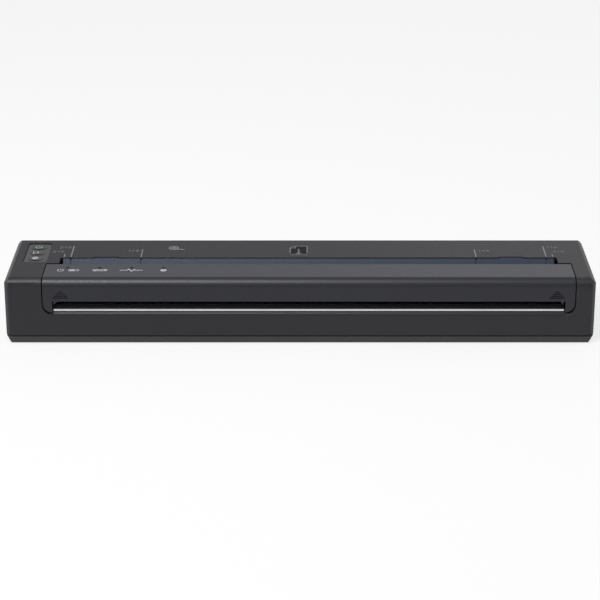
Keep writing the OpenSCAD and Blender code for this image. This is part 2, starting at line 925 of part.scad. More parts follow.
module idler_gear() {
  color(gear_white)
  difference() {
    union() {
      wheel(idler_at, idler_teeth, idler_phase, gear_in, gear_out);
      drive_rod(idler_at, hub_r, gear_in, big_in - free_gap);
    }
    drive_rod(idler_at, stud_r + run_fit, gear_in - 1, plate_gear_out);
    // Lightening ring
    difference() {
      drive_rod(idler_at, 4.4, gear_in - 0.1, gear_in + 0.5);
      drive_rod(idler_at, hub_r, gear_in - 1, gear_in + 1);
    }
  }
}

module reduction_gear() {
  color(gear_white)
  difference() {
    union() {
      wheel(reduction_at, small_teeth, small_phase, gear_in, big_in);
      wheel(reduction_at, large_teeth, large_phase, big_in, big_out);
      drive_rod(reduction_at, hub_r, big_out - 0.1, plate_gear_in - touch_gap);
    }
    drive_rod(reduction_at, stud_r + run_fit, gear_in - 1, plate_gear_out);
  }
}

// Each stud is riveted to the gear plate. The idler's has a shoulder behind its
// gear, thin enough to pass the large wheel.
module gear_studs() {
  color(steel) {
    for (at = [idler_at, reduction_at]) drive_rod(at, stud_r, gear_in - 0.2, plate_gear_out);
    drive_rod(idler_at, stud_r + 0.25, big_in - free_gap + touch_gap, plate_gear_in);
  }
}

module motor_pinion() {
  color(brass_gold)
  difference() {
    wheel(pinion_at, pinion_teeth, pinion_phase, big_in, plate_gear_in - free_gap);
    drive_rod(pinion_at, motor_shaft_r, big_in - 1, plate_gear_in + 1);
  }
}

module motor_shaft() {
  color(steel) drive_rod(pinion_at, motor_shaft_r, big_in - 0.4, plate_gear_out + motor_shaft_in);
}

function ear_at(side) =
  pinion_at + side * (motor_r + motor_ear) * [cos(motor_tilt), sin(motor_tilt)];

module motor_ear_rods(r, x0, x1) {
  for (side = [-1, 1]) drive_rod(ear_at(side), r, x0, x1);
}

module gear_plate() {
  y0 = idler_at[0] - 4;
  y1 = pinion_at[0] + motor_r + 4.4;
  z1 = ear_at(-1)[1] + 2.4;
  color(steel)
  difference() {
    union() {
      drive_end() block([plate_gear_in, plate_gear_out], [y0, y1], [chassis_z, z1]);
      block([gear_foot_x - 2.6, paper_x - plate_gear_in], [y0, pinion_at[0] - motor_r - 1.8],
        [chassis_z, chassis_top]);
    }
    for (at = [idler_at, reduction_at]) drive_rod(at, stud_r, plate_gear_in - 1, plate_gear_out + 1);
    drive_rod(pinion_at, 2.6, plate_gear_in - 1, plate_gear_out + 1);
    motor_ear_rods(thread_r + thread_slack, plate_gear_in - 1, plate_gear_out + 1);
    floor_screw_rods(0, body_h, thread_r + 0.07);
  }
}

terminal_half = 3.4;
terminal_h = 0.9;

module drive_motor() {
  face = plate_gear_out;
  flange_t = 0.8;
  ear_half = motor_r + motor_ear + 1.6;
  color("#8d9094")
  difference() {
    union() {
      drive_rod(pinion_at, motor_r, face, face + motor_len);
      drive_end() translate([face, pinion_at[0], pinion_at[1]]) rotate([motor_tilt, 0, 0])
        translate([0, -ear_half, -2.2]) cube([flange_t, 2 * ear_half, 4.4]);
      // Terminal block on top of the can
      drive_end() block([face + 3.4, face + 7.4],
        [pinion_at[0] - terminal_half, pinion_at[0] + terminal_half],
        [pinion_at[1] + motor_r - 1.5, pinion_at[1] + motor_r + terminal_h]);
    }
    drive_rod(pinion_at, motor_shaft_r + run_fit, face - 1, face + motor_shaft_in + 0.2);
    motor_ear_rods(thread_r + thread_slack, face - 1, face + 2);
  }
}

module motor_screws() {
  head_h = 0.8;
  color(steel)
  for (side = [-1, 1]) drive_end()
    translate([plate_gear_out + 2 * head_h, ear_at(side)[0], ear_at(side)[1]])
      rotate([0, -90, 0]) screw(1.6, head_h, thread_r, 1.9);
}

// Flat lead from the motor up to the main board.
module motor_cable() {
  x_motor = paper_x - plate_gear_out - 7.2;
  x_up = board_x0 - 5.6;
  z_low = pinion_at[1] + motor_r + terminal_h;
  z_high = board_top + 0.7;
  color(cable_white)
  translate([0, pinion_at[0], 0]) {
    block([x_motor, x_up], [-3, 3], [z_low, z_low + 0.4]);
    block([x_up - 0.4, x_up], [-3, 3], [z_low, z_high + 0.4]);
    block([x_up - 0.4, board_x0 + 0.5], [-3, 3], [z_high, z_high + 0.4]);
  }
}

// ---- Chassis and print head ----

// What a bushing sweeps as the cover lifts it out of its notch, on an arc
// about the hinge.
module bushing_path() {
  r = bushing_r + run_fit;
  intersection() {
    difference() {
      rod(hinge_at, swing_r + r, plate_in - 1, plate_out + 1);
      rod(hinge_at, swing_r - r, plate_in - 2, plate_out + 2);
    }
    translate([plate_in - 1, platen_y, platen_z])
      rotate([atan2(swing_dir[0], -swing_dir[1]), 0, 0])
        translate([0, -2 * r, 0]) cube([plate_t + 2, 4 * r, 8]);
  }
}

module chassis() {
  color(steel)
  difference() {
    union() {
      block([paper_x - plate_out, paper_x + plate_out], [chassis_front, chassis_rear],
        [chassis_z, chassis_top]);
      both_ends() along_x(plate_in, plate_out)
        polygon([
          [plate_front, chassis_z], [chassis_rear, chassis_z], [chassis_rear, chassis_top + 11],
          [platen_y + 6.6, plate_top], [plate_front, plate_top]
        ]);
      // Front rail that carries the exit guide
      block([paper_x - plate_out, paper_x + plate_out], [chassis_front, chassis_front + 1],
        [chassis_z, guide_low]);
    }
    both_ends() {
      rod(platen_at, bushing_r + run_fit, plate_in - 1, plate_out + 1);
      bushing_path();
      rod(rod_at, head_rod_r, plate_in - 1, plate_out + 1);
    }
    floor_screw_rods(0, chassis_top + 1, thread_r + 0.07);
    // Round windows between the springs
    for (i = [0.5 : 3.5])
      translate([paper_x + spring_xs[0] + spring_pitch * i, platen_y + 1, chassis_z - 1])
        cylinder(r = 4, h = 3);
  }
}

module chassis_screws() {
  head_h = 0.9;
  color(steel)
  for (p = floor_screws)
    translate([p[0], p[1], chassis_top + head_h]) mirror([0, 0, 1])
      screw(1.9, head_h, thread_r, floor_screw_len);
}

guide_low = guide_top - 3.4;
bar_y = front_in - 0.3;
bar_t = 0.5;
bar_low = opening_low + 0.5;

module exit_guide() {
  color(shell_black)
  difference() {
    along_x(paper_x - exit_half + free_gap, paper_x + exit_half - free_gap)
      polygon([
        [guide_front, guide_low], [guide_rear, guide_low], [guide_rear, guide_top - 0.4],
        [guide_rear - 0.8, guide_top], [guide_front + 0.8, tear_top_z - 0.1],
        [guide_front, tear_top_z - 0.5]
      ]);
  }
}

module tear_bar() {
  color(steel)
  along_x(paper_x - exit_half + free_gap, paper_x + exit_half - free_gap)
    polygon([
      [bar_y, bar_low], [bar_y + bar_t, bar_low],
      [bar_y + bar_t, tear_top_z], [bar_y + 0.2, tear_top_z], [bar_y, tear_top_z - 0.35]
    ]);
}

module print_head() {
  color("#e9e4d8")
  block([paper_x - head_half, paper_x + head_half], [head_front, head_rear],
    [heatsink_top, nip_z]);
}

module head_cover() {
  color(chip_black)
  along_x(paper_x - head_half + 3, paper_x + head_half - 3)
    polygon([
      [head_rear - 2.9, nip_z], [head_rear - 0.2, nip_z], [head_rear - 0.2, nip_z + 0.7],
      [head_rear - 2.1, nip_z + 0.7]
    ]);
}

knuckle_half = 5;
knuckle_pitch = (head_half - 8.6) / 2;
knuckle_xs = [for (i = [-2 : 2]) knuckle_pitch * i];
knuckle = head_rod_r + 1.15;

module head_heatsink() {
  color(aluminium)
  difference() {
    union() {
      block([paper_x - head_half, paper_x + head_half], [head_front, head_rear + 0.6],
        [heatsink_low, heatsink_top]);
      for (x = knuckle_xs) translate([paper_x, 0, 0]) {
        rod(rod_at, knuckle, x - knuckle_half, x + knuckle_half);
        block([x - knuckle_half, x + knuckle_half], [head_rear, rod_y],
          [rod_z - knuckle + 0.4, rod_z + knuckle]);
      }
    }
    rod(rod_at, head_rod_r + run_fit, -half_w, half_w);
    // Spring seats
    for (x = spring_xs)
      translate([paper_x + x, spring_y, heatsink_low - 1]) cylinder(r = spring_r + 0.5, h = 1.6);
  }
}

module head_pivot_rod() {
  color(steel)
  rod(rod_at, head_rod_r, paper_x - plate_out - 0.2, paper_x + plate_out + 0.2);
}

connector_half = 29;
connector_y = [head_rear - 3.4, head_rear - 0.4];
connector_low = heatsink_low - 3;

module head_connector() {
  color("#d8d2c0")
  block([paper_x - connector_half, paper_x + connector_half], connector_y,
    [connector_low, heatsink_low]);
}

// Flat cable from the head, behind the chute and over the bay wall to the board.
cable_t = 0.3;
module head_cable() {
  y0 = connector_y[1] + 0.3;
  y1 = frame_front - 1.2;
  z0 = connector_low + 0.6;
  z1 = board_top + 0.5;
  y2 = board_y0 + 0.3;
  color(cable_white)
  along_x(paper_x - connector_half + 2, paper_x + connector_half - 2)
    polygon([
      [y0, z0], [y1 + cable_t, z0], [y1 + cable_t, z1], [y2, z1],
      [y2, z1 + cable_t], [y1, z1 + cable_t], [y1, z0 + cable_t], [y0, z0 + cable_t]
    ]);
}

// ---- Head springs ----

spring_pitch = (head_half - 20.6) / 2;
spring_xs = [for (i = [-2 : 2]) spring_pitch * i];
spring_y = platen_y - 0.4;
spring_r = 1.9;
wire_r = 0.3;
spring_turns = 5;
spring_low = chassis_top;
spring_high = heatsink_low + 0.6;
wire_sides = 6;
rings_per_turn = 10;

// Point on the coil, and the frame of the wire there.
function coil_point(i, n) =
  let (a = 360 * spring_turns * i / n,
       z = spring_low + wire_r + (spring_high - spring_low - 2 * wire_r) * i / n)
  [spring_r * cos(a), spring_r * sin(a), z];
function wire_ring(i, n) =
  let (a = 360 * spring_turns * i / n, c = coil_point(i, n))
  [for (k = [0 : wire_sides - 1])
    let (b = 360 * k / wire_sides)
    c + wire_r * [cos(b) * cos(a), cos(b) * sin(a), sin(b)]];

module coil_spring() {
  n = spring_turns * rings_per_turn;
  points = [for (i = [0 : n]) each wire_ring(i, n)];
  sides = [for (i = [0 : n - 1], k = [0 : wire_sides - 1])
    let (k2 = (k + 1) % wire_sides, a = i * wire_sides, b = a + wire_sides)
    each [[a + k, b + k, b + k2], [a + k, b + k2, a + k2]]];
  ends = [
    for (k = [1 : wire_sides - 2]) [0, k, k + 1],
    for (k = [1 : wire_sides - 2]) [n * wire_sides, n * wire_sides + k + 1, n * wire_sides + k]
  ];
  polyhedron(points, [for (f = concat(sides, ends)) [f[2], f[1], f[0]]]);
}

module head_springs() {
  echo(least_coil_gap = (spring_high - spring_low - 2 * wire_r) / spring_turns - 2 * wire_r);
  color(steel)
  for (x = spring_xs) translate([paper_x + x, spring_y, 0]) coil_spring();
}

// ---- Chute, inner frame and sensor ----

chute_slope = (chute_top_z - chute_low_z) / (chute_top_y - chute_low_y);
rib_offsets = [for (s = [-1, 1], inset = [4.4, 36.4, 72.4]) s * (chute_half - inset)];
lever_x = paper_x + chute_half - 56.4;
lever_t = 1.6;
lever_at = [-0.9, 22.4];
lever_pin_r = 0.75;
flag_low = lever_at[1] - 7.4;

groove_depth = 0.7;
groove_low = 21;
groove_high = chute_top_z + 0.5;

function chute_y(z) = chute_top_y - (chute_top_z - z) / chute_slope;

module paper_chute() {
  back = chute_t * sqrt(1 + 1 / (chute_slope * chute_slope));
  rib_rear = frame_front;
  color(chute_grey)
  difference() {
    union() {
      along_x(paper_x - chute_half, paper_x + chute_half)
        polygon([
          [chute_low_y, chute_low_z], [chute_top_y, chute_top_z], [chute_edge_y, chute_top_z],
          [chute_edge_y, inner_top - 0.2], [chute_y(inner_top - 0.2) + back, inner_top - 0.2],
          [chute_y(chute_low_z - 0.9) + back, chute_low_z - 0.9], [chute_low_y, chute_low_z - 0.9]
        ]);
      for (s = [-1, 1])
        block([paper_x + s * tab_offset - tab_half + 0.3, paper_x + s * tab_offset + tab_half - 0.3],
          [chute_top_y, chute_edge_y + tab_depth], [inner_top - 0.3, chute_top_z + 0.1]);
      for (x = rib_offsets)
        along_x(paper_x + x - 0.75, paper_x + x + 0.75)
          polygon([
            [chute_y(19) + 1, 19], [chute_y(inner_top - 0.6) + 1, inner_top - 0.6],
            [rib_rear, inner_top - 0.6], [rib_rear, 19]
          ]);
    }
    // Grooves in line with the width marks
    for (s = [-1, 1], x = [mark_offsets[0], mark_offsets[1]])
      along_x(paper_x + s * x - 0.3, paper_x + s * x + 0.3)
        polygon([
          [chute_y(groove_low) - 1, groove_low], [chute_y(groove_low) + groove_depth, groove_low],
          [chute_y(groove_high) + groove_depth, groove_high], [chute_y(groove_high) - 1, groove_high]
        ]);
    block([lever_x - lever_t / 2 - 0.6, lever_x + lever_t / 2 + 0.6], [-12, 4], [17.4, 24.4]);
  }
}

lever_nose = [chute_y(20.4) - 1.3, 20.4];
module sensor_lever() {
  color(gear_white)
  difference() {
    union() {
      along_x(lever_x - lever_t / 2, lever_x + lever_t / 2) {
        polygon([
          lever_nose, lever_nose + [0.3, 0.9], lever_at + [-0.6, 1.3], lever_at + [0.6, -1.2],
          lever_nose + [1.6, -1]
        ]);
        polygon([
          lever_at + [-1.2, 0.4], lever_at + [0.7, 0], [lever_at[0] - 0.5, flag_low],
          [lever_at[0] - 2.3, flag_low]
        ]);
      }
      rod(lever_at, 1.7, lever_x - lever_t / 2 - 0.3, lever_x + lever_t / 2 + 0.3);
    }
    rod(lever_at, lever_pin_r + run_fit, -half_w, half_w);
  }
}

ear_in = lever_t / 2 + 0.3 + free_gap;
ear_out = ear_in + 1.6;

module lever_pin() {
  color(steel) rod(lever_at, lever_pin_r, lever_x - ear_out, lever_x + ear_out);
}

// Board on the bay's wall, with a light gate that the lever's flag swings through.
module sensor_board() {
  z = flag_low - 0.8;
  color(board_green)
  block([lever_x - 6, lever_x + 6], [frame_front - 0.8, frame_front], [z - 1, z + 4.6]);
  color(chip_black)
  for (s = [-1, 1])
    block([lever_x + s * 2.4 - 1.2, lever_x + s * 2.4 + 1.2], [lever_at[0] - 2.2, frame_front - 0.8],
      [z, z + 3.6]);
}

module inner_frame() {
  color("#2a2a2d")
  difference() {
    union() {
      block([bay_x0 - frame_t, bay_x1 + frame_t], [frame_front, frame_front + frame_t],
        [floor_z, ceiling_top]);
      block([bay_x0 - frame_t, board_x1], [frame_front, rear_in - 0.2],
        [ceiling_low, ceiling_top]);
      for (x = [bay_x0 - frame_t, bay_x1])
        block([x, x + frame_t], [frame_front, rear_in - base_draw - free_gap], [floor_z, ceiling_top]);
      // Ears that hold the sensor lever's pin
      for (s = [-1, 1])
        block([lever_x + s * (ear_in + ear_out) / 2 - 0.8, lever_x + s * (ear_in + ear_out) / 2 + 0.8],
          [lever_at[0] - 1, frame_front + 0.1], [lever_at[1] - 1.6, lever_at[1] + 1.6]);
      // Feet that are screwed to the tray
      for (x = frame_foot_xs)
        block([x - 3.5, x + 3.5], [frame_foot_y - 2.4, frame_front + 0.1], [chassis_z, chassis_top]);
      // Standoffs under the main board
      for (x = board_screw_xs, y = board_screw_ys)
        translate([x, y, ceiling_top - 0.1]) cylinder(r = 2, h = board_z - ceiling_top + 0.1);
    }
    rod(lever_at, lever_pin_r, lever_x - ear_out - 1, lever_x + ear_out + 1);
    floor_screw_rods(0, chassis_top + 1, thread_r + 0.07);
    for (x = board_screw_xs, y = board_screw_ys)
      translate([x, y, ceiling_low - 0.1]) cylinder(r = small_thread_r + thread_slack, h = 3);
    io_cable_slot();
    for (i = [0 : 3]) contact(i, frame_front - 1, pack_front, 0.1);
  }
}

// ---- Boards ----

board_screw_xs = [board_x0 + 7, paper_x + connector_half + 5, pack_x1 - 5];
board_screw_ys = [board_y0 + 4, board_y1 - 3];
io_cable_half = 3.6;
io_cable_x = io_x0 + io_cable_half + 1;
io_cable_y = jack_at[0] - jack_half - 2.8;

module io_cable_slot() {
  block([io_cable_x - io_cable_half - 1, board_x1 + 1], [io_cable_y - 1, io_cable_y + 1],
    [ceiling_low - 1, body_h]);
}

module main_board() {
  color(board_green)
  difference() {
    block([board_x0, board_x1], [board_y0, board_y1], [board_z, board_top]);
    for (x = board_screw_xs, y = board_screw_ys)
      translate([x, y, board_z - 1]) cylinder(r = 0.9, h = 3);
    io_cable_slot();
  }
}

module board_screws() {
  color(steel)
  {
    for (x = board_screw_xs, y = board_screw_ys)
      translate([x, y, board_top + 0.8]) mirror([0, 0, 1]) screw(1.7, 0.8, small_thread_r, 2.4);
    for (y = io_screw_ys)
      translate([io_screw_xs[0], y, io_top + 0.8]) mirror([0, 0, 1]) screw(1.4, 0.8, small_thread_r, 3);
    for (y = key_post_ys)
      translate([panel_x, y, key_board_top - board_t - 0.8]) screw(1.7, 0.8, small_thread_r, 3.2);
  }
}

// x, y, length, width and height of each chip
chips = [
  [-58, 16, 12, 12, 1.2], [-38, 15, 9, 9, 1], [-22, 17, 8, 5, 1], [44, 16, 7, 7, 1.1],
  [58, 15, 6, 5, 1.4], [74, 17, 9, 6, 1], [88, 14, 5, 4, 1.6]
];
module board_chips() {
  color(chip_black)
  for (c = chips)
    block([c[0] - c[2] / 2, c[0] + c[2] / 2], [c[1] - c[3] / 2, c[1] + c[3] / 2],
      [board_top, board_top + c[4]]);
}

module board_connectors() {
  color("#e6e0cf") {
    block([paper_x - connector_half, paper_x + connector_half], [board_y0 + 0.4, board_y0 + 4],
      [board_top, board_top + 0.45]);
    block([paper_x - connector_half, paper_x + connector_half], [board_y0 + 0.4, board_y0 + 4],
      [board_top + 0.85, board_top + 1.8]);
    block([paper_x - connector_half, paper_x + connector_half], [board_y0 + 1.6, board_y0 + 4],
      [board_top, board_top + 1.8]);
    block([board_x0 + 0.6, board_x0 + 4], [pinion_at[0] - 4, pinion_at[0] + 4],
      [board_top, board_top + 1.9]);
  }
}

// A pressed screening can over the radio.
module radio_module() {
  x = [20, 34];
  y = [11, 21];
  sheet = 0.3;
  color(steel)
  difference() {
    block(x, y, [board_top, board_top + 1.8]);
    block(x + [sheet, -sheet], y + [sheet, -sheet], [board_top - 0.1, board_top + 1.8 - sheet]);
  }
}

module io_board() {
  color(board_green)
  difference() {
    block([io_x0, io_x1], [io_y0, io_y1], [io_z, io_top]);
    for (y = io_screw_ys)
      translate([io_screw_xs[0], y, io_z - 1]) cylinder(r = small_thread_r + 0.2, h = 4);
  }
}

module usb_port() {
  back = half_w - wall - 8.4;
  color(steel)
  difference() {
    port_block(usb_half, 0.6, back, half_w - 0.8);
    port_block(usb_half - [0.35, 0.35], 0.4, back + 1, half_w);
  }
  color(chip_black) port_block([2.6, 0.4], 0.1, back + 1, half_w - 2.4);
}

module dc_jack() {
  back = half_w - wall - 12;
  color(chip_black)
  difference() {
    union() {
      block([back, half_w - wall - touch_gap], [jack_at[0] - jack_half, jack_at[0] + jack_half],
        [io_top, jack_at[1] + jack_half]);
      rod(jack_at, jack_r, half_w - wall - 0.2, half_w - 0.6);
    }
    rod(jack_at, 2.75, back + 2, half_w + 1);
  }
  color(steel) rod(jack_at, 0.85, back + 2, half_w - 2);
}

module io_cable() {
  color(cable_white)
  block([io_cable_x - io_cable_half, io_cable_x + io_cable_half],
    [io_cable_y - 0.2, io_cable_y + 0.2], [io_top, board_top + 1]);
}

// ---- Battery ----

module pack_outline(t) {
  rounded_rect([pack_front + t, pack_rear - t], [pack_low + t, pack_top - t], 2.4 - t);
}

module battery_case() {
  color("#242427")
  difference() {
    along_x(pack_x0, pack_x1) pack_outline(0);
    along_x(pack_x0 + 2, pack_x1 - 2) pack_outline(pack_wall);
    for (i = [0 : 3]) contact(i, pack_front - 1, pack_front + contact_in + 0.2, 0.4);
  }
}

// As many cells as the pack has room for, end to end.
module battery_cells() {
  y = (pack_front + pack_rear) / 2;
  z = pack_low + pack_wall + cell_r + touch_gap;
  end_room = 2.6;
  cell_gap = 0.4;
  pitch = cell_len + cell_gap / 2;
  count = floor((pack_len - 2 * end_room + cell_gap) / pitch);
  color(cell_green)
  for (i = [0 : count - 1]) translate([pack_x0 + end_room + i * pitch, 0, 0])
    rod([y, z], cell_r, 0, pitch - cell_gap);
}

// Spring blades that come through the bay's front wall into the battery's slots.
contact_in = 0.5;
module contact(i, y0, y1, grow) {
  x = pack_x0 + 8 + 3.2 * i;
  block([x - 0.4 - grow, x + 0.4 + grow], [y0, y1], [pack_low + 6 - grow, pack_low + 11 + grow]);
}

module battery_contacts() {
  color(brass_gold)
  for (i = [0 : 3]) contact(i, frame_front - 0.4, pack_front + contact_in, 0);
}

module battery_door() {
  grip_x = door_x0 + 14;
  color(shell_black)
  difference() {
    union() {
      intersection() {
        case_body(0);
        block([door_x0, door_x1], [rear_in, half_d + 1], [door_low, door_high]);
      }
      // Pads that keep the battery still, and tongues under the bay ceiling
      for (i = [0 : 3]) {
        pad_x = pack_x0 + pack_len * (i + 0.4) / 4;
        tongue_x = pack_x0 + pack_len * (i + 0.65) / 4;
        block([pad_x - 6, pad_x + 6], [pack_rear + touch_gap, rear_in + 0.1],
          [pack_low + 4, pack_low + 12]);
        block([tongue_x - 5, tongue_x + 5], [pack_rear - 3, rear_in + 0.1],
          [pack_top + free_gap, ceiling_low - 0.25]);
      }
    }
    for (i = [0 : 4])
      block([grip_x + 2.2 * i, grip_x + 2.2 * i + 0.8], [half_d - 0.4, half_d + 1],
        [door_low + 6, door_high - 4]);
  }
}

upper_case();
lower_case();
key_bezel();
key_board();
key_switches();
power_button();
feed_button();
wireless_button();
release_cover();
cover_frame();
frame_screws();
hinge_pins();
indicator_lenses();
indicator_board();
indicator_leds();
platen_roller();
platen_shaft();
platen_gear();
platen_bushings();
chassis();
chassis_screws();
exit_guide();
tear_bar();
paper_chute();
print_head();
head_cover();
head_heatsink();
head_connector();
head_pivot_rod();
head_springs();
head_cable();
gear_plate();
gear_studs();
idler_gear();
reduction_gear();
motor_pinion();
drive_motor();
motor_shaft();
motor_screws();
motor_cable();
inner_frame();
sensor_lever();
lever_pin();
sensor_board();
main_board();
board_chips();
board_connectors();
radio_module();
board_screws();
io_board();
usb_port();
dc_jack();
io_cable();
battery_case();
battery_cells();
battery_contacts();
battery_door();
rubber_feet();
case_screws();
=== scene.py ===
"""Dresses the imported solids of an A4 portable thermal printer.

Every solid of the frame gets the finish of the real piece, and the sharp edges
of moulded pieces are rounded with modifiers. The thin printed and raised marks
that the solids leave out are built here as meshes of their own.

Sizes are in millimetres until a mesh is made, and Blender's unit is the metre.
"""

from __future__ import annotations

import logging
import math
from dataclasses import dataclass
from enum import Enum
from typing import Mapping, Protocol, Sequence

import bmesh
import bpy
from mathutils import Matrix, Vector

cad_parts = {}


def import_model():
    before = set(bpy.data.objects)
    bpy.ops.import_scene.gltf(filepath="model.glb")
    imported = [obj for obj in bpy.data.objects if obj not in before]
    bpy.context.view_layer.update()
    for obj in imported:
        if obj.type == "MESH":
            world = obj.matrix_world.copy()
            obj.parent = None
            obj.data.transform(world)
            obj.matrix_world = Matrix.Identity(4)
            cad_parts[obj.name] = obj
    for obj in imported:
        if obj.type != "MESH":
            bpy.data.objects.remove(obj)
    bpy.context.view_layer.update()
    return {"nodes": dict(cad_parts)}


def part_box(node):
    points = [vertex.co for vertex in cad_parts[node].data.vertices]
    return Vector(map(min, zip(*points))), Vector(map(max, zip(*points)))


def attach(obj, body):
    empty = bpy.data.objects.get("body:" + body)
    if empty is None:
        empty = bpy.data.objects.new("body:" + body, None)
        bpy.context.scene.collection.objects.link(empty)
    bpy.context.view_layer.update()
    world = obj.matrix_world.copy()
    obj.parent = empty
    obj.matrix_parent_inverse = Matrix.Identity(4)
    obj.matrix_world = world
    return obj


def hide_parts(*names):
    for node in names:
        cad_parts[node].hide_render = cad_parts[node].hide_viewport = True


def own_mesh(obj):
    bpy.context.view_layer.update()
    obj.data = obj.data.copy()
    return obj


LOG = logging.getLogger("printer")
MM = 0.001

Point = tuple[float, float]
Span = tuple[float, float]
Place = tuple[float, float, float]
Colour = tuple[float, float, float, float]
Tree = bpy.types.NodeTree
Socket = bpy.types.NodeSocket
Inputs = Mapping[str | int, object]

# Sockets of the Mix node by number, because it repeats their names for each data type
SHARE, FROM_NUMBER, TO_NUMBER, FROM, TO = 0, 2, 3, 6, 7
MIXED_NUMBER, MIXED = 0, 2
# Most values of a noise texture lie between these
NOISE = (0.3, 0.7)
# One band of the wave texture is this share of its unit
BAND = 0.314
# Rays with which a Bevel node looks for the corner that it smooths
CORNER_RAYS = 4
WHITE = (1.0, 1.0, 1.0, 1.0)
BLACK = (0.0, 0.0, 0.0, 1.0)
# A height that no piece reaches, in millimetres
NOWHERE = 1000.0


# ---- Shader helpers ----


def linear(colour: str) -> Colour:
    """Turns an sRGB colour into the linear one that shaders take.

    Args:
        colour: A hex value such as "#2b2b2e".

    Returns:
        Red, green, blue and an alpha of 1.
    """
    parts = [int(colour[i : i + 2], 16) / 255 for i in (1, 3, 5)]
    red, green, blue = (
        p / 12.92 if p <= 0.04045 else ((p + 0.055) / 1.055) ** 2.4 for p in parts
    )
    return red, green, blue, 1.0


def shaded(colour: str, share: float) -> str:
    """Makes a colour lighter or darker.

    Args:
        colour: An sRGB hex value.
        share: 0.1 is a tenth lighter, and -0.1 a tenth darker.

    Returns:
        The changed colour as a hex value.
    """
    parts = (int(colour[i : i + 2], 16) for i in (1, 3, 5))
    return "#" + "".join(
        f"{min(255, max(0, round(p * (1 + share)))):02x}" for p in parts
    )


def per_metre(size_mm: float) -> float:
    """Scale of a texture whose features are this many millimetres across."""
    return 1 / (size_mm * MM)


def spans(read: Span, given: Span) -> dict[str, float]:
    """The span of values that is read and what it turns into, by socket name."""
    return dict(zip(("From Min", "From Max", "To Min", "To Max"), (*read, *given)))


def connect(tree: Tree, node: bpy.types.Node, inputs: Inputs) -> None:
    """Sets and links a node's input sockets.

    Args:
        tree: The node tree that it is in.
        node: The node.
        inputs: For each socket, a value or the output socket that feeds it.
    """
    for socket, value in inputs.items():
        if isinstance(value, Socket):
            tree.links.new(value, node.inputs[socket])
        else:
            node.inputs[socket].default_value = value


def add_node(
    tree: Tree,
    kind: str,
    inputs: Inputs | None = None,
    **settings: object,
) -> bpy.types.NodeOutputs:
    """Adds a shader node with its settings and links.

    Args:
        tree: The node tree that it joins.
        kind: The node's type name in Blender, after its ShaderNode.
        inputs: For each socket, a value or the output socket that feeds it.
        settings: Properties of the node itself.

    Returns:
        The new node's output sockets.
    """
    node = tree.nodes.new(f"ShaderNode{kind}")
    for name, value in settings.items():
        setattr(node, name, value)
    connect(tree, node, inputs or {})
    return node.outputs


# ---- Finishes ----


class Grain(Enum):
    """The way a metal was rolled, drawn or ground, as stretches of its texture."""

    ALONG_X = (0.04, 1.0, 1.0)
    NONE = (1.0, 1.0, 1.0)


@dataclass(frozen=True)
class Pattern:
    """What a finish draws on its solid.

    Coats of colour lie over a base, each with the share that it covers. The relief
    has a height from 0 to 1 and stands on a normal. Inputs are for other sockets.
    """

    base: Colour
    coats: Sequence[tuple[Socket, Colour]] = ()
    height: Socket | None = None
    normal: Socket | None = None
    inputs: Inputs | None = None


@dataclass(frozen=True)
class Finish:
    """What all finishes share: name, colour, roughness and the depth of the relief."""

    name: str
    colour: str
    roughness: float
    depth_mm: float = 0.0
    # Least and most roughness that a pattern gives, as shares of the finish's own
    rough_span: Span = (0.9, 1.1)

    def tone(self, share: float = 0.0) -> Colour:
        """The finish's colour, lighter or darker by a share, as shaders take it."""
        return linear(shaded(self.colour, share))

    def rough(self) -> Span:
        """Least and most roughness of the pattern."""
        low, high = self.rough_span
        return self.roughness * low, self.roughness * high

    def material(self) -> bpy.types.Material:
        """Makes the material, or finds it if it was made before.

        Returns:
            The Blender material of this finish.
        """
        found = bpy.data.materials.get(self.name)
        if found:
            return found
        made = bpy.data.materials.new(self.name)
        made.use_nodes = True
        tree = made.node_tree
        shader = tree.nodes["Principled BSDF"]
        connect(tree, shader, {"Base Color": self.tone(), "Roughness": self.roughness})
        pattern = self.pattern(tree, add_node(tree, "TexCoord")["Object"])
        colour = pattern.base
        for share, over in pattern.coats:
            mixed = {SHARE: share, FROM: colour, TO: over}
            colour = add_node(tree, "Mix", mixed, data_type="RGBA")[MIXED]
        inputs = {"Base Color": colour, **(pattern.inputs or {})}
        if pattern.height is not None:
            relief = {"Height": pattern.height, "Distance": self.depth_mm * MM}
            if pattern.normal is not None:
                relief["Normal"] = pattern.normal
            inputs["Normal"] = add_node(tree, "Bump", relief)["Normal"]
        connect(tree, shader, inputs)
        return made

    def pattern(self, tree: Tree, place: Socket) -> Pattern:
        """Makes the finish's own pattern.

        Args:
            tree: The material's node tree.
            place: The point's place in the solid's own space.

        Returns:
            The pattern.
        """
        raise NotImplementedError


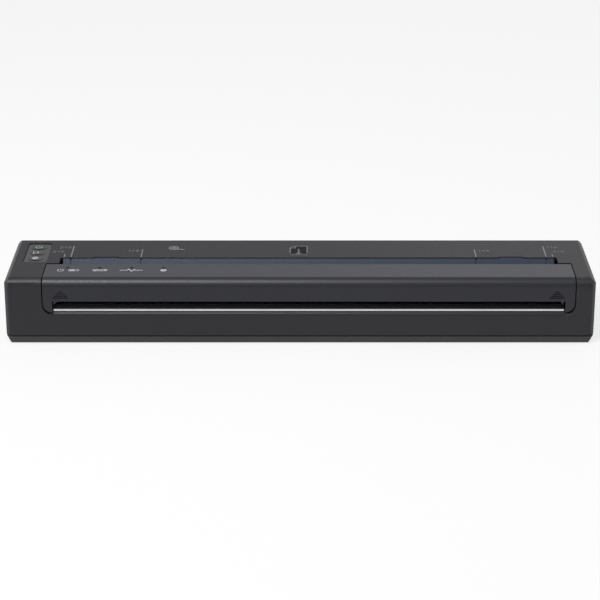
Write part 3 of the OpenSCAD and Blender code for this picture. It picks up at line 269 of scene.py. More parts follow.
@dataclass(frozen=True)
class MouldedPlastic(Finish):
    """Injection-moulded ABS or polycarbonate with an eroded tool's fine texture.

    The eye sees a dull charcoal grain, faint clouds where the melt flowed, and
    corners that handling has polished a little lighter. Raised tops get a lighter
    tone as a painted highlight, and level faces one as painted light from above.
    """

    # The real grain is about 0.1 mm, drawn coarser so that it shows
    grain_mm: float = 0.5
    depth_mm: float = 0.015
    cloud_mm: float = 22.0
    mottle: float = 0.05
    specular: float = 0.38
    rough_spread: float = 0.05
    # How much of a worn corner shows, how light it is, how wide and how sharp
    wear: float = 0.3
    wear_tone: float = 0.7
    edge_mm: float = 0.3
    corner: Span = (0.99, 0.8)
    # Marks that stand above this height get a lighter tone, a painted highlight
    highlight_above_mm: float = NOWHERE
    highlight_colour: str = "#7b7a7e"
    # Share of painted light on faces that look up, and how level they have to be
    level_light: float = 0.0
    level_light_colour: str = "#8c8d96"
    level: Span = (0.97, 0.999)

    def pattern(self, tree: Tree, place: Socket) -> Pattern:
        """Makes the eroded grain, the flow clouds, the polished corners and the painted
        light on tops.

        Args:
            tree: The material's node tree.
            place: The point's place in the solid's own space.

        Returns:
            The pattern.
        """
        grain, cloud = (
            add_node(
                tree,
                "TexNoise",
                {"Vector": place, "Scale": per_metre(size), "Detail": detail},
            )["Fac"]
            for size, detail in ((self.grain_mm, 2.0), (self.cloud_mm, 3.0))
        )
        radius = {"Radius": self.edge_mm * MM}
        rounded = add_node(tree, "Bevel", radius, samples=CORNER_RAYS)["Normal"]
        flat = add_node(tree, "NewGeometry")["Normal"]
        facing = add_node(
            tree, "VectorMath", {0: rounded, 1: flat}, operation="DOT_PRODUCT"
        )["Value"]
        height = add_node(tree, "SeparateXYZ", {"Vector": place})["Z"]
        # Above that height the colour is lighter, a painted highlight
        limit = self.highlight_above_mm * MM
        highlighted = add_node(
            tree, "Math", {0: height, 1: limit}, operation="GREATER_THAN"
        )["Value"]
        # Faces that look up get a lighter colour, painted light from above
        turned = add_node(tree, "TexCoord")["Normal"]
        upward = add_node(tree, "SeparateXYZ", {"Vector": turned})["Z"]
        least = self.roughness - self.rough_spread
        most = self.roughness + self.rough_spread
        worn, lit_level, rough = (
            add_node(tree, "MapRange", {"Value": value, **spans(read, given)})["Result"]
            for value, read, given in (
                (facing, self.corner, (0.0, self.wear)),
                (upward, self.level, (0.0, self.level_light)),
                (grain, NOISE, (least, most)),
            )
        )
        coats = (
            (cloud, self.tone(self.mottle)),
            (worn, self.tone(self.wear_tone)),
            (highlighted, linear(self.highlight_colour)),
            (lit_level, linear(self.level_light_colour)),
        )
        inputs = {"Roughness": rough, "Specular IOR Level": self.specular}
        return Pattern(self.tone(-self.mottle), coats, grain, rounded, inputs)


@dataclass(frozen=True)
class WorkedMetal(Finish):
    """Bare or plated metal, with the lines of its rolling, drawing or grinding.

    The eye sees fine streaks that stretch the highlights, and a faint change of
    tone where plating or oil film differs.
    """

    grain: Grain = Grain.NONE
    # Real lines are under 0.1 mm wide, drawn coarser so that they show
    line_mm: float = 0.25
    line_span: Span = (0.25, 0.75)
    depth_mm: float = 0.004
    rough_span: Span = (0.8, 1.25)
    film: float = 0.06
    film_mm: float = 9.0
    edge_mm: float = 0.12
    # Metal above this height is painted darker, a painted shade on the top edge
    shade_above_mm: float = NOWHERE
    shade_share: float = -0.6

    def pattern(self, tree: Tree, place: Socket) -> Pattern:
        """Makes the working lines, the film's change of tone and the painted shade above
        a height.

        Args:
            tree: The material's node tree.
            place: The point's place in the solid's own space.

        Returns:
            The pattern.
        """
        stretch = {"Vector": place, "Scale": self.grain.value}
        stretched = add_node(tree, "Mapping", stretch)["Vector"]
        lines, film = (
            add_node(
                tree,
                "TexNoise",
                {"Vector": where, "Scale": per_metre(size), "Detail": detail},
            )["Fac"]
            for where, size, detail in (
                (stretched, self.line_mm, 3.0),
                (place, self.film_mm, 2.0),
            )
        )
        # Where the metal stands above the height, its colour is painted darker as shade
        height = add_node(tree, "SeparateXYZ", {"Vector": place})["Z"]
        limit = self.shade_above_mm * MM
        ground = add_node(
            tree, "Math", {0: height, 1: limit}, operation="GREATER_THAN"
        )["Value"]
        span = spans(self.line_span, self.rough())
        rough = add_node(tree, "MapRange", {"Value": lines, **span})["Result"]
        radius = {"Radius": self.edge_mm * MM}
        rounded = add_node(tree, "Bevel", radius, samples=CORNER_RAYS)["Normal"]
        coats = ((film, self.tone(self.film)), (ground, self.tone(self.shade_share)))
        inputs = {"Metallic": 1.0, "Roughness": rough}
        return Pattern(self.tone(-self.film), coats, lines, rounded, inputs)


@dataclass(frozen=True)
class SmoothPlastic(Finish):
    """Plastic from a polished tool, such as acetal gears or a satin paper guide.

    The eye sees a soft, slightly waxy sheen with shallow sink waves in it.
    """

    wave_mm: float = 6.0
    speck_mm: float = 0.6
    depth_mm: float = 0.02
    mottle: float = 0.04
    specular: float = 0.5
    edge_mm: float = 0.2
    # Light goes this deep into milky plastic, red a little deeper than blue
    translucence: float = 0.0
    scatter_mm: float = 0.5
    scatter: tuple[float, float, float] = (1.0, 0.9, 0.8)

    def pattern(self, tree: Tree, place: Socket) -> Pattern:
        """Makes the sink waves, the mottle and the sheen.

        Args:
            tree: The material's node tree.
            place: The point's place in the solid's own space.

        Returns:
            The pattern.
        """
        waves, specks = (
            add_node(
                tree,
                "TexNoise",
                {"Vector": place, "Scale": per_metre(size), "Detail": detail},
            )["Fac"]
            for size, detail in ((self.wave_mm, 1.0), (self.speck_mm, 2.0))
        )
        span = spans(NOISE, self.rough())
        rough = add_node(tree, "MapRange", {"Value": specks, **span})["Result"]
        radius = {"Radius": self.edge_mm * MM}
        rounded = add_node(tree, "Bevel", radius, samples=CORNER_RAYS)["Normal"]
        inputs = {
            "Roughness": rough,
            "Specular IOR Level": self.specular,
            "Subsurface Weight": self.translucence,
            "Subsurface Radius": self.scatter,
            "Subsurface Scale": self.scatter_mm * MM,
        }
        coats = ((waves, self.tone(self.mottle)),)
        return Pattern(self.tone(-self.mottle), coats, waves, rounded, inputs)


@dataclass(frozen=True)
class GroundRubber(Finish):
    """Moulded or ground rubber.

    The eye sees a dull black with a dusty bloom on it and hardly any highlight.
    """

    # Real pores are about 0.1 mm, drawn coarser so that they show
    pore_mm: float = 0.4
    depth_mm: float = 0.02
    bloom: float = 0.18
    bloom_mm: float = 7.0
    bloom_span: Span = (0.4, 0.75)
    bloom_colour: str = "#6d6c6a"
    specular: float = 0.3

    def pattern(self, tree: Tree, place: Socket) -> Pattern:
        """Makes the pores and the bloom.

        Args:
            tree: The material's node tree.
            place: The point's place in the solid's own space.

        Returns:
            The pattern.
        """
        pores, dust = (
            add_node(
                tree,
                "TexNoise",
                {"Vector": place, "Scale": per_metre(size), "Detail": detail},
            )["Fac"]
            for size, detail in ((self.pore_mm, 3.0), (self.bloom_mm, 4.0))
        )
        span = spans(self.bloom_span, (0.0, self.bloom))
        share = add_node(tree, "MapRange", {"Value": dust, **span})["Result"]
        coats = ((share, linear(self.bloom_colour)),)
        inputs = {"Specular IOR Level": self.specular}
        return Pattern(self.tone(), coats, pores, inputs=inputs)


@dataclass(frozen=True)
class CircuitLaminate(Finish):
    """Glass-epoxy board under green or black solder mask.

    The eye sees a glossy mask with lighter tracks at right angles, and rows of
    tinned pads. Tracks are drawn 0.6 mm wide, coarser than real, so that they show.
    """

    depth_mm: float = 0.03
    track_mm: float = 1.3
    track_edge: Span = (0.6, 0.72)
    track_share: float = 0.55
    track_tone: float = 0.7
    # Size of the patches with tracks one way, and the noise value that parts them
    patch_mm: float = 11.0
    split: float = 0.5
    pad_mm: float = 3.2
    pad_size: float = 0.16
    pad_scatter: float = 0.35
    pad_colour: str = "#c9c7bd"

    def pattern(self, tree: Tree, place: Socket) -> Pattern:
        """Makes the tracks and the pads.

        Args:
            tree: The material's node tree.
            place: The point's place in the solid's own space.

        Returns:
            The pattern.
        """
        wide = {"Vector": place, "Scale": per_metre(self.patch_mm), "Detail": 0.0}
        patch = add_node(tree, "TexNoise", wide)["Fac"]
        fine = {"Vector": place, "Scale": BAND * per_metre(self.track_mm)}
        lengthwise, crosswise = (
            add_node(tree, "TexWave", fine, bands_direction=direction)["Fac"]
            for direction in ("X", "Y")
        )
        across = add_node(
            tree, "Math", {0: patch, 1: self.split}, operation="GREATER_THAN"
        )["Value"]
        ways = {SHARE: across, FROM_NUMBER: lengthwise, TO_NUMBER: crosswise}
        band = add_node(tree, "Mix", ways)[MIXED_NUMBER]
        span = spans(self.track_edge, (0.0, self.track_share))
        track = add_node(tree, "MapRange", {"Value": band, **span})["Result"]
        dotted = {
            "Vector": place,
            "Scale": per_metre(self.pad_mm),
            "Randomness": self.pad_scatter,
        }
        dots = add_node(tree, "TexVoronoi", dotted)["Distance"]
        pad = add_node(
            tree, "Math", {0: dots, 1: self.pad_size}, operation="LESS_THAN"
        )["Value"]
        coats = ((track, self.tone(self.track_tone)), (pad, linear(self.pad_colour)))
        return Pattern(self.tone(), coats, track, inputs={"Metallic": pad})


@dataclass(frozen=True)
class RibbonCable(Finish):
    """Flat flexible cable: tinned conductors between two films of polyester.

    The eye sees white film with a grey line for every conductor.
    """

    depth_mm: float = 0.04
    pitch_mm: float = 1.0
    wire_edge: Span = (0.45, 0.6)
    wire_colour: str = "#a9adb3"

    def pattern(self, tree: Tree, place: Socket) -> Pattern:
        """Makes the conductors' lines.

        Args:
            tree: The material's node tree.
            place: The point's place in the solid's own space.

        Returns:
            The pattern.
        """
        lined = {"Vector": place, "Scale": BAND * per_metre(self.pitch_mm)}
        bands = add_node(tree, "TexWave", lined, bands_direction="X")["Fac"]
        span = spans(self.wire_edge, (0.0, 1.0))
        wire = add_node(tree, "MapRange", {"Value": bands, **span})["Result"]
        return Pattern(self.tone(), ((wire, linear(self.wire_colour)),), wire)


@dataclass(frozen=True)
class GlazedCeramic(Finish):
    """Alumina strip of a thermal head, under glaze.

    The eye sees glossy cream, a brown heater line under the platen, fine gold
    electrodes that run back from it, and near-black on the lead in front: an
    overcoat, with painted shade of the paper slot over it.
    """

    heater_y_mm: float = -16.0
    line_mm: float = 0.9
    # Real electrodes are eight to the millimetre, drawn coarser so that they show
    comb_mm: float = 0.8
    comb_share: float = 0.5
    gold_colour: str = "#c9a44e"
    heater_colour: str = "#5c4a3a"
    # Near-black in front of the heater, an overcoat and painted shade of the slot
    coat_and_shade_colour: str = "#121214"

    def pattern(self, tree: Tree, place: Socket) -> Pattern:
        """Makes the heater line, the electrodes, and the overcoat with its painted
        shade.

        Args:
            tree: The material's node tree.
            place: The point's place in the solid's own space.

        Returns:
            The pattern.
        """
        depth = add_node(tree, "SeparateXYZ", {"Vector": place})["Y"]
        lined = {"Vector": place, "Scale": BAND * per_metre(self.comb_mm)}
        comb = add_node(tree, "TexWave", lined, bands_direction="X")["Fac"]
        middle, half = self.heater_y_mm * MM, self.line_mm / 2 * MM
        back = (self.heater_y_mm + self.line_mm / 2) * MM
        front = (self.heater_y_mm - self.line_mm) * MM
        heater, behind, tooth, ahead = (
            add_node(tree, "Math", dict(enumerate(values)), operation=test)["Value"]
            for test, *values in (
                ("COMPARE", depth, middle, half),
                ("GREATER_THAN", depth, back),
                ("GREATER_THAN", comb, self.comb_share),
                ("LESS_THAN", depth, front),
            )
        )
        gold = add_node(tree, "Math", {0: tooth, 1: behind}, operation="MULTIPLY")
        coats = (
            (gold["Value"], linear(self.gold_colour)),
            (heater, linear(self.heater_colour)),
            (ahead, linear(self.coat_and_shade_colour)),
        )
        return Pattern(self.tone(), coats)


@dataclass(frozen=True)
class ShrinkWrap(Finish):
    """PVC sleeve shrunk over a battery cell.

    The eye sees glossy colour with fine creases round the cell.
    """

    depth_mm: float = 0.06
    crease_mm: float = 2.5
    pull: float = 1.2
    mottle: float = 0.1

    def pattern(self, tree: Tree, place: Socket) -> Pattern:
        """Makes the creases.

        Args:
            tree: The material's node tree.
            place: The point's place in the solid's own space.

        Returns:
            The pattern.
        """
        pulled = {
            "Vector": place,
            "Scale": per_metre(self.crease_mm),
            "Detail": 3.0,
            "Distortion": self.pull,
        }
        creases = add_node(tree, "TexNoise", pulled)["Fac"]
        coats = ((creases, self.tone(self.mottle)),)
        return Pattern(self.tone(-self.mottle), coats, creases)


@dataclass(frozen=True)
class PadPrint(Finish):
    """Ink laid on plastic by pad printing.

    The eye sees flat, opaque ink that is a little thinner in specks.
    """

    speck_mm: float = 0.4
    thinning: float = 0.12
    specular: float = 0.3

    def pattern(self, tree: Tree, place: Socket) -> Pattern:
        """Makes the thin specks.

        Args:
            tree: The material's node tree.
            place: The point's place in the solid's own space.

        Returns:
            The pattern.
        """
        fine = {"Vector": place, "Scale": per_metre(self.speck_mm), "Detail": 2.0}
        specks = add_node(tree, "TexNoise", fine)["Fac"]
        inputs = {"Specular IOR Level": self.specular}
        coats = ((specks, self.tone()),)
        return Pattern(self.tone(-self.thinning), coats, inputs=inputs)


@dataclass(frozen=True)
class SeamlessPaper(Finish):
    """A roll of matt background paper, lit from behind like a light table.

    The eye sees even white with hardly any tooth, and soft shadows on it.
    """

    # Real fibres are about 0.1 mm, drawn coarser so that they show
    fibre_mm: float = 1.5
    tooth: float = 0.01
    specular: float = 0.1
    # Share of the seen or mirrored white that comes through the paper
    glow: float = 0.75

    def pattern(self, tree: Tree, place: Socket) -> Pattern:
        """Makes the fibres' slight change of tone and the light from behind.

        Args:
            tree: The material's node tree.
            place: The point's place in the solid's own space.

        Returns:
            The pattern.
        """
        fine = {"Vector": place, "Scale": per_metre(self.fibre_mm), "Detail": 1.0}
        fibres = add_node(tree, "TexNoise", fine)["Fac"]
        path = add_node(tree, "LightPath")
        glow = path["Is Camera Ray"]
        for way, other in (
            ("MAXIMUM", path["Is Glossy Ray"]),
            ("MAXIMUM", path["Is Transmission Ray"]),
            ("MULTIPLY", self.glow),
        ):
            glow = add_node(tree, "Math", {0: glow, 1: other}, operation=way)["Value"]
        coats = ((fibres, self.tone()), (glow, BLACK))
        inputs = {
            "Specular IOR Level": self.specular,
            "Emission Color": WHITE,
            "Emission Strength": glow,
        }
        return Pattern(self.tone(-self.tooth), coats, inputs=inputs)


@dataclass(frozen=True)
class SmokedClear(Finish):
    """Smoked polycarbonate light guides over an unlit lamp, with matt faces.

    The eye sees small dark windows with faint flow swirls.
    """

    ior: float = 1.58
    specular: float = 0.05
    clearness: float = 0.1
    swirl_mm: float = 0.8
    swirl: float = 0.8
    rough_span: Span = (0.7, 1.4)

    def pattern(self, tree: Tree, place: Socket) -> Pattern:
        """Makes the flow swirls and lets part of the light through.

        Args:
            tree: The material's node tree.
            place: The point's place in the solid's own space.

        Returns:
            The pattern.
        """
        swirled = {
            "Vector": place,
            "Scale": per_metre(self.swirl_mm),
            "Detail": 1.0,
            "Distortion": self.swirl,
        }
        swirls = add_node(tree, "TexNoise", swirled)["Fac"]
        span = spans((0.0, 1.0), self.rough())
        rough = add_node(tree, "MapRange", {"Value": swirls, **span})["Result"]
        inputs = {
            "Roughness": rough,
            "IOR": self.ior,
            "Specular IOR Level": self.specular,
            "Transmission Weight": self.clearness,
        }
        return Pattern(self.tone(), inputs=inputs)


# Charcoal ABS from an eroded tool: a dull grain that breaks every highlight
# Its raised width marks above 29.87 mm get a painted highlight
SHELL = MouldedPlastic("eroded_charcoal_abs", "#201f24", 0.46, highlight_above_mm=29.87)
# The lower case is a lighter copy of the same ABS, a painted reflection of the white
# floor
TRAY_SHELL = MouldedPlastic("eroded_charcoal_abs_tray_floor_light", "#39383c", 0.55)
# The cover's level face is painted lighter, as painted light from above
COVER_SHELL = MouldedPlastic(
    "eroded_charcoal_abs_cover", "#1b1c24", 0.42, specular=0.43, level_light=0.1
)
# Finer, lighter grain, so that the keys read as satin grey beside the case
PANEL = MouldedPlastic("satin_grey_abs", "#464649", 0.48, grain_mm=0.4, wear=0.25)
KEY_CAP = MouldedPlastic("satin_key_abs", "#424245", 0.45, grain_mm=0.35, wear=0.25)
# Raised marks are pale grey, a painted highlight where their tops catch the light
RAISED_MARK = MouldedPlastic("highlight_painted_raised_abs", "#8b8a8e", 0.4, wear=0.1)
DULL_MARK = MouldedPlastic("dull_raised_abs", "#666569", 0.45, wear=0.1)
# A near-black field without grain behind the sheet sign, painted shade for its recess
SHADE_FIELD = MouldedPlastic(
    "painted_shade_black_abs", "#161618", 0.6, depth_mm=0.003, wear=0.1, specular=0.12
)
# Plain black ABS out of sight, and a guide that running paper has polished
INNER = MouldedPlastic("plain_black_abs", "#202023", 0.5, wear=0.15)
GUIDE = MouldedPlastic("paper_polished_abs", "#505056", 0.4, depth_mm=0.005, wear=0.2)
PACK_SHELL = MouldedPlastic("battery_shell_abs", "#242427", 0.6, wear=0.2)
# Smooth mouldings: a satin chute, waxy acetal, ivory nylon, and flat black painted shade
# for the grip's grooves
CHUTE = SmoothPlastic("satin_blue_grey_abs", "#2b364b", 0.5, specular=0.25)
ACETAL = SmoothPlastic("moulded_acetal", "#d9d6cc", 0.4, translucence=0.15)
BLACK_ACETAL = SmoothPlastic("moulded_black_acetal", "#1c1c1f", 0.4)
CONNECTOR = SmoothPlastic("ivory_nylon", "#d8d2c0", 0.5, translucence=0.1)
GROOVE_SHADE = SmoothPlastic("painted_groove_shade_black", "#0b0b0c", 0.85, specular=0.1)
CHIP = SmoothPlastic("epoxy_package", "#1d1d1f", 0.6)
LAMP = SmoothPlastic("lamp_chip", "#e9e6da", 0.3, translucence=0.2)
# Metals: zinc plate is blue-grey and soft, turned steel brighter, brass warm
ZINC_SHEET = WorkedMetal("zinc_plated_sheet", "#b4b7ba", 0.36, grain=Grain.ALONG_X)
TURNED_STEEL = WorkedMetal("turned_steel", "#bcbfc3", 0.28)
SCREW_STEEL = WorkedMetal("zinc_plated_screw", "#a9abad", 0.32)
ALUMINIUM = WorkedMetal("extruded_aluminium", "#c9ccd0", 0.38, grain=Grain.ALONG_X)
SPRING_WIRE = WorkedMetal("music_wire", "#9a9da1", 0.25)
MOTOR_CAN = WorkedMetal("drawn_plated_can", "#9b9ea2", 0.34, grain=Grain.ALONG_X)
BRASS = WorkedMetal("machined_brass", "#c8a24a", 0.28)
# The tear bar is a bright strip, and its top edge is painted dark, a painted shade
GROUND_STAINLESS = WorkedMetal(
    "ground_stainless",
    "#d2d3d6",
    0.3,
    grain=Grain.ALONG_X,
    line_mm=0.15,
    shade_above_mm=15.66,
)
# Rubber: the platen is ground clean, and the feet carry the dust of the table
PLATEN_RUBBER = GroundRubber(
    "ground_silicone_rubber", "#1c1c1e", 0.62, depth_mm=0.01, bloom=0.05
)
FOOT_RUBBER = GroundRubber("moulded_foot_rubber", "#1b1b1c", 0.75)
# Solder mask is glossy, green on the main boards and near-black on the small ones
LAMINATE = CircuitLaminate("solder_masked_laminate", "#17563a", 0.3)
DARK_LAMINATE = CircuitLaminate("black_masked_laminate", "#151618", 0.4)
RIBBON = RibbonCable("polyester_ribbon", "#e4e6e8", 0.4)
CERAMIC = GlazedCeramic("glazed_alumina", "#e6e1d4", 0.15)
WRAP = ShrinkWrap("pvc_shrink_wrap", "#3a7d5c", 0.3)
# Pad-printed inks are flat and opaque, with no shine of their own
WHITE_INK = PadPrint("white_pad_print", "#c9c9cd", 0.5)
GREEN_INK = PadPrint("green_pad_print", "#86c48f", 0.5)
DARK_INK = PadPrint("dark_pad_print", "#3a3a3e", 0.5)
LENS = SmokedClear("smoked_polycarbonate", "#040405", 0.5)
PAPER = SeamlessPaper("white_seamless_paper", "#e7e7e7", 0.9)


# ---- Flat drawings ----

# Least cosine at a mitre, so that a sharp corner doesn't run out to a spike
MITRE = 0.5
# Share of a disc that its ring fills; the rest is a hole too fine to see
FILL = 0.98
# A digit's stroke and pitch, for a digit one unit high
DIGIT_STROKE, LOOP_STROKE, DIGIT_PITCH = 0.2, 0.19, 0.85
# Strokes that cross lie this far apart, so that no two tops share a plane
LAYER_MM = 0.002


class Surface(Protocol):
    """Something that a mark lies on."""

    def point(self, x: float, y: float, lift: float) -> Place:
        """Where a drawing's point lies once it is lifted off, in millimetres."""


@dataclass(frozen=True)
class FlatTop:
    """A level face."""

    z: float

    def point(self, x: float, y: float, lift: float) -> Place:
        """The point at the face's height, plus the lift."""
        return x, y, self.z + lift


@dataclass(frozen=True)
class CrownedTop:
    """A face that curves down on both sides of a line along Y."""

    x: float
    top: float
    radius: float

    def point(self, x: float, y: float, lift: float) -> Place:
        """The point on the crown's arc, plus the lift."""
        drop = self.radius - math.sqrt(self.radius**2 - (x - self.x) ** 2)
        return x, y, self.top - drop + lift


@dataclass(frozen=True)
class FrontFace:
    """An upright face that looks to the front, where a drawing's y is a height."""

    y: float

    def point(self, x: float, y: float, lift: float) -> Place:
        """The point on the face, lifted to the front."""
        return x, self.y - lift, y


@dataclass(frozen=True)
class Stroke:
    """A line of even width on a flat drawing, in millimetres."""

    points: tuple[Point, ...]
    width: float
    closed: bool = False

    def sides(self) -> tuple[list[Point], list[Point]]:
        """Works out the stroke's two edges, mitred at its corners.

        Returns:
            The points on its left, and those on its right.
        """
        count = len(self.points)
        left, right = [], []
        for i, (x, y) in enumerate(self.points):
            bx, by = self.points[i - 1 if i or self.closed else i]
            ax, ay = self.points[(i + 1) % count if i + 1 < count or self.closed else i]
            inward = Vector((x - bx, y - by))
            outward = Vector((ax - x, ay - y))
            inward = inward.normalized() if inward.length else outward.normalized()
            outward = outward.normalized() if outward.length else inward
            along = (inward + outward).normalized()
            normal = Vector((-along.y, along.x))
            square = Vector((-inward.y, inward.x))
            reach = self.width / 2 / max(MITRE, normal.dot(square))
            left.append((x + normal.x * reach, y + normal.y * reach))
            right.append((x - normal.x * reach, y - normal.y * reach))
        return left, right


@dataclass(frozen=True)
class Mark:
    """A printed or raised mark: strokes and filled patches, about its own middle."""

    strokes: tuple[Stroke, ...] = ()
    patches: tuple[tuple[Point, ...], ...] = ()

    def moved(self, x: float, y: float, scale: float = 1.0) -> Mark:
        """The same mark, scaled and then moved.

        Args:
            x: How far it moves right, in millimetres.
            y: How far it moves back.
            scale: What its size is multiplied by.

        Returns:
            The new mark.
        """

        def placed(points: Sequence[Point]) -> tuple[Point, ...]:
            """The points after the change."""
            return tuple((x + px * scale, y + py * scale) for px, py in points)

        return Mark(
            tuple(Stroke(placed(s.points), s.width, s.closed) for s in self.strokes),
            tuple(placed(p) for p in self.patches),
        )

    def joined(self, *others: Mark) -> Mark:
        """This mark and others as one."""
        marks = (self, *others)
        return Mark(
            tuple(s for m in marks for s in m.strokes),
            tuple(p for m in marks for p in m.patches),
        )


def arc(
    centre: Point, radius: float, start: float, end: float, steps: int = 16
) -> tuple[Point, ...]:
    """Points on part of a circle.

    Args:
        centre: The circle's middle, in millimetres.
        radius: Its radius.
        start: Angle of the first point, in degrees.
        end: Angle of the last point.
        steps: How many pieces the arc is cut into.

    Returns:
        The points, in order.
    """
    angles = (math.radians(start + (end - start) * i / steps) for i in range(steps + 1))
    return tuple(
        (centre[0] + radius * math.cos(a), centre[1] + radius * math.sin(a))
        for a in angles
    )


def ring(centre: Point, radius: float, width: float, steps: int = 24) -> Stroke:
    """A closed circle of a stroke, centred on its line."""
    return Stroke(arc(centre, radius, 0, 360, steps)[:-1], width, closed=True)


def disc(centre: Point, radius: float) -> Stroke:
    """A filled circle, as a ring with hardly any hole."""
    return ring(centre, radius / 2, radius * FILL)


def line(*points: Point, width: float = 0.3, cuts: int = 3) -> Stroke:
    """An open stroke, cut finely enough to follow a curved face.

    Args:
        points: Its corners.
        width: Its width in millimetres.
        cuts: Pieces that each straight part is cut into.

    Returns:
        The stroke.
    """
    path = [points[0]]
    for (x0, y0), (x1, y1) in zip(points, points[1:]):
        path += [
            (x0 + (x1 - x0) * i / cuts, y0 + (y1 - y0) * i / cuts)
            for i in range(1, cuts + 1)
        ]
    return Stroke(tuple(path), width)


# Each digit is drawn one unit high
DIGITS: dict[str, Mark] = {
    digit: Mark(strokes)
    for digit, strokes in {
        "0": (
            Stroke(
                tuple((0.6 * x, y) for x, y in arc((0, 0.5), 0.5, 0, 360)[:-1]),
                DIGIT_STROKE,
                closed=True,
            ),
        ),
        "1": (
            line((-0.2, 0.78), (0.05, 1.0), (0.05, 0.0), width=DIGIT_STROKE, cuts=1),
        ),
        "2": (
            Stroke(
                (*arc((0, 0.72), 0.28, 160, -30, 8), (-0.3, 0.0), (0.3, 0.0)),
                DIGIT_STROKE,
            ),
        ),
        "4": (
            line(
                (0.14, 0.0), (0.14, 1.0), (-0.32, 0.3), (0.32, 0.3),
                width=DIGIT_STROKE, cuts=1,
            ),
        ),
        "6": (
            ring((0, 0.29), 0.27, LOOP_STROKE, 14),
            Stroke(
                ((-0.27, 0.32), (-0.22, 0.62), (-0.02, 0.88), (0.24, 0.97)),
                DIGIT_STROKE,
            ),
        ),
        "8": (
            ring((0, 0.28), 0.27, LOOP_STROKE, 14),
            ring((0, 0.77), 0.22, LOOP_STROKE, 14),
        ),
    }.items()
}


def number(text: str, height: float) -> Mark:
    """A row of digits about its own middle.

    Args:
        text: The digits.
        height: Their height in millimetres.

    Returns:
        The mark.
    """
    pitch = DIGIT_PITCH * height
    first = -pitch * (len(text) - 1) / 2
    strokes: list[Stroke] = []
    for i, digit in enumerate(text):
        mark = DIGITS[digit].moved(first + pitch * i, -height / 2, height)
        strokes += [Stroke(s.points, s.width * height, s.closed) for s in mark.strokes]
    return Mark(tuple(strokes))


POWER_SIGN = Mark(
    (
        Stroke(arc((0, 0), 1.25, 125, 415, 22), 0.34),
        line((0, 0.45), (0, 1.6), width=0.34),
    )
)
FEED_SIGN = Mark(
    (
        line((-0.55, -1.0), (-1.5, -1.0), (-1.5, 1.0), (-0.55, 1.0), width=0.26),
        line((0.3, 1.1), (0.3, -0.5), width=0.26),
    ),
    (((-0.35, -0.35), (0.3, -1.2), (0.95, -0.35)),),
)
RADIO_SIGN = Mark(
    (
        disc((0, -0.62), 0.2),
        Stroke(arc((0, -0.62), 0.65, 40, 140, 8), 0.2),
        Stroke(arc((0, -0.62), 1.1, 42, 138, 10), 0.2),
    )
)
BATTERY_SIGN = Mark(
    (
        line(
            (-1.7, -0.8), (1.4, -0.8), (1.4, 0.8), (-1.7, 0.8), (-1.7, -0.8),
            width=0.26, cuts=1,
        ),
        line((1.85, -0.35), (1.85, 0.35), width=0.3, cuts=1),
    ),
    (((-1.35, -0.45), (0.3, -0.45), (0.3, 0.45), (-1.35, 0.45)),),
)
EXCHANGE_SIGN = Mark(
    (
        line((-3.5, 0.75), (2.2, 0.75), width=0.5, cuts=1),
        line((-2.2, -0.75), (3.5, -0.75), width=0.5, cuts=1),
    ),
    (
        ((2.0, 0.1), (3.9, 0.75), (2.0, 1.4)),
        ((-2.0, -0.1), (-3.9, -0.75), (-2.0, -1.4)),
    ),
)
PULSE_SIGN = Mark(
    (
        line(
            (-5.0, 0.0), (-2.0, 0.0), (-1.1, 1.4), (0.2, -1.4), (1.1, 0.9),
            (1.7, 0.0), (5.0, 0.0),
            width=0.5, cuts=1,
        ),
    )
)
ROLL_SIGN = Mark(
    (
        ring((-1.2, 0.5), 2.0, 0.5),
        ring((-1.2, 0.5), 0.75, 0.45, 16),
        Stroke(((-1.2, -1.5), (0.6, -1.5), (1.7, -1.1), (2.6, -1.5), (3.6, -1.9)), 0.5),
    )
)
SHEET_SIGN = Mark(
    (
        line(
            (-3.8, -3.6), (-3.8, 3.2), (-1.6, 5.6), (3.8, 5.6), (3.8, -3.6),
            width=0.6, cuts=1,
        ),
        line((-3.8, 3.0), (-1.4, 3.0), (-1.4, 5.6), width=0.5, cuts=1),
        line((0.0, 1.8), (0.0, -3.4), width=0.7, cuts=1),
        line((-3.8, -6.0), (3.8, -6.0), width=0.6, cuts=1),
    ),
    (((-1.5, -3.2), (0.0, -5.2), (1.5, -3.2)),),
)
# The sheet sign's outline, filled, for the painted shade behind it
SHEET_SHADE = Mark(
    patches=(((-3.8, -3.6), (3.8, -3.6), (3.8, 5.6), (-1.6, 5.6), (-3.8, 3.2)),)
)


# ---- Pieces ----


def solid_from(
    mark: Mark, surface: Surface, rise: float, sink: float = 0.03
) -> bpy.types.Mesh:
    """Makes closed, thin solids of a mark, lying on a surface.

    Args:
        mark: The mark, already where it belongs.
        surface: What it lies on.
        rise: How far it stands up from there, in millimetres.
        sink: How far it reaches into it.

    Returns:
        The mesh, in metres.
    """
    shape = bmesh.new()

    def corner(point: Point, lift: float) -> bmesh.types.BMVert:
        """A vertex over or under a point of the surface."""
        return shape.verts.new(Vector(surface.point(*point, lift)) * MM)

    for step, stroke in enumerate(mark.strokes, 1):
        top = rise + step * LAYER_MM
        left, right = stroke.sides()
        rows = [
            (corner(a, top), corner(b, top), corner(b, -sink), corner(a, -sink))
            for a, b in zip(left, right)
        ]
        pairs = list(zip(rows, rows[1:]))
        if stroke.closed:
            pairs.append((rows[-1], rows[0]))
        else:
            shape.faces.new(rows[0])
            shape.faces.new(rows[-1][::-1])
        for near, far in pairs:
            for i in range(4):
                j = (i + 1) % 4
                shape.faces.new((near[i], far[i], far[j], near[j]))
    for patch in mark.patches:
        high = [corner(p, rise) for p in patch]
        low = [corner(p, -sink) for p in patch]
        shape.faces.new(high)
        shape.faces.new(low[::-1])
        for i in range(len(patch)):
            j = (i + 1) % len(patch)
            shape.faces.new((low[i], low[j], high[j], high[i]))
    bmesh.ops.recalc_face_normals(shape, faces=shape.faces)
    mesh = bpy.data.meshes.new("mark")
    shape.to_mesh(mesh)
    shape.free()
    return mesh


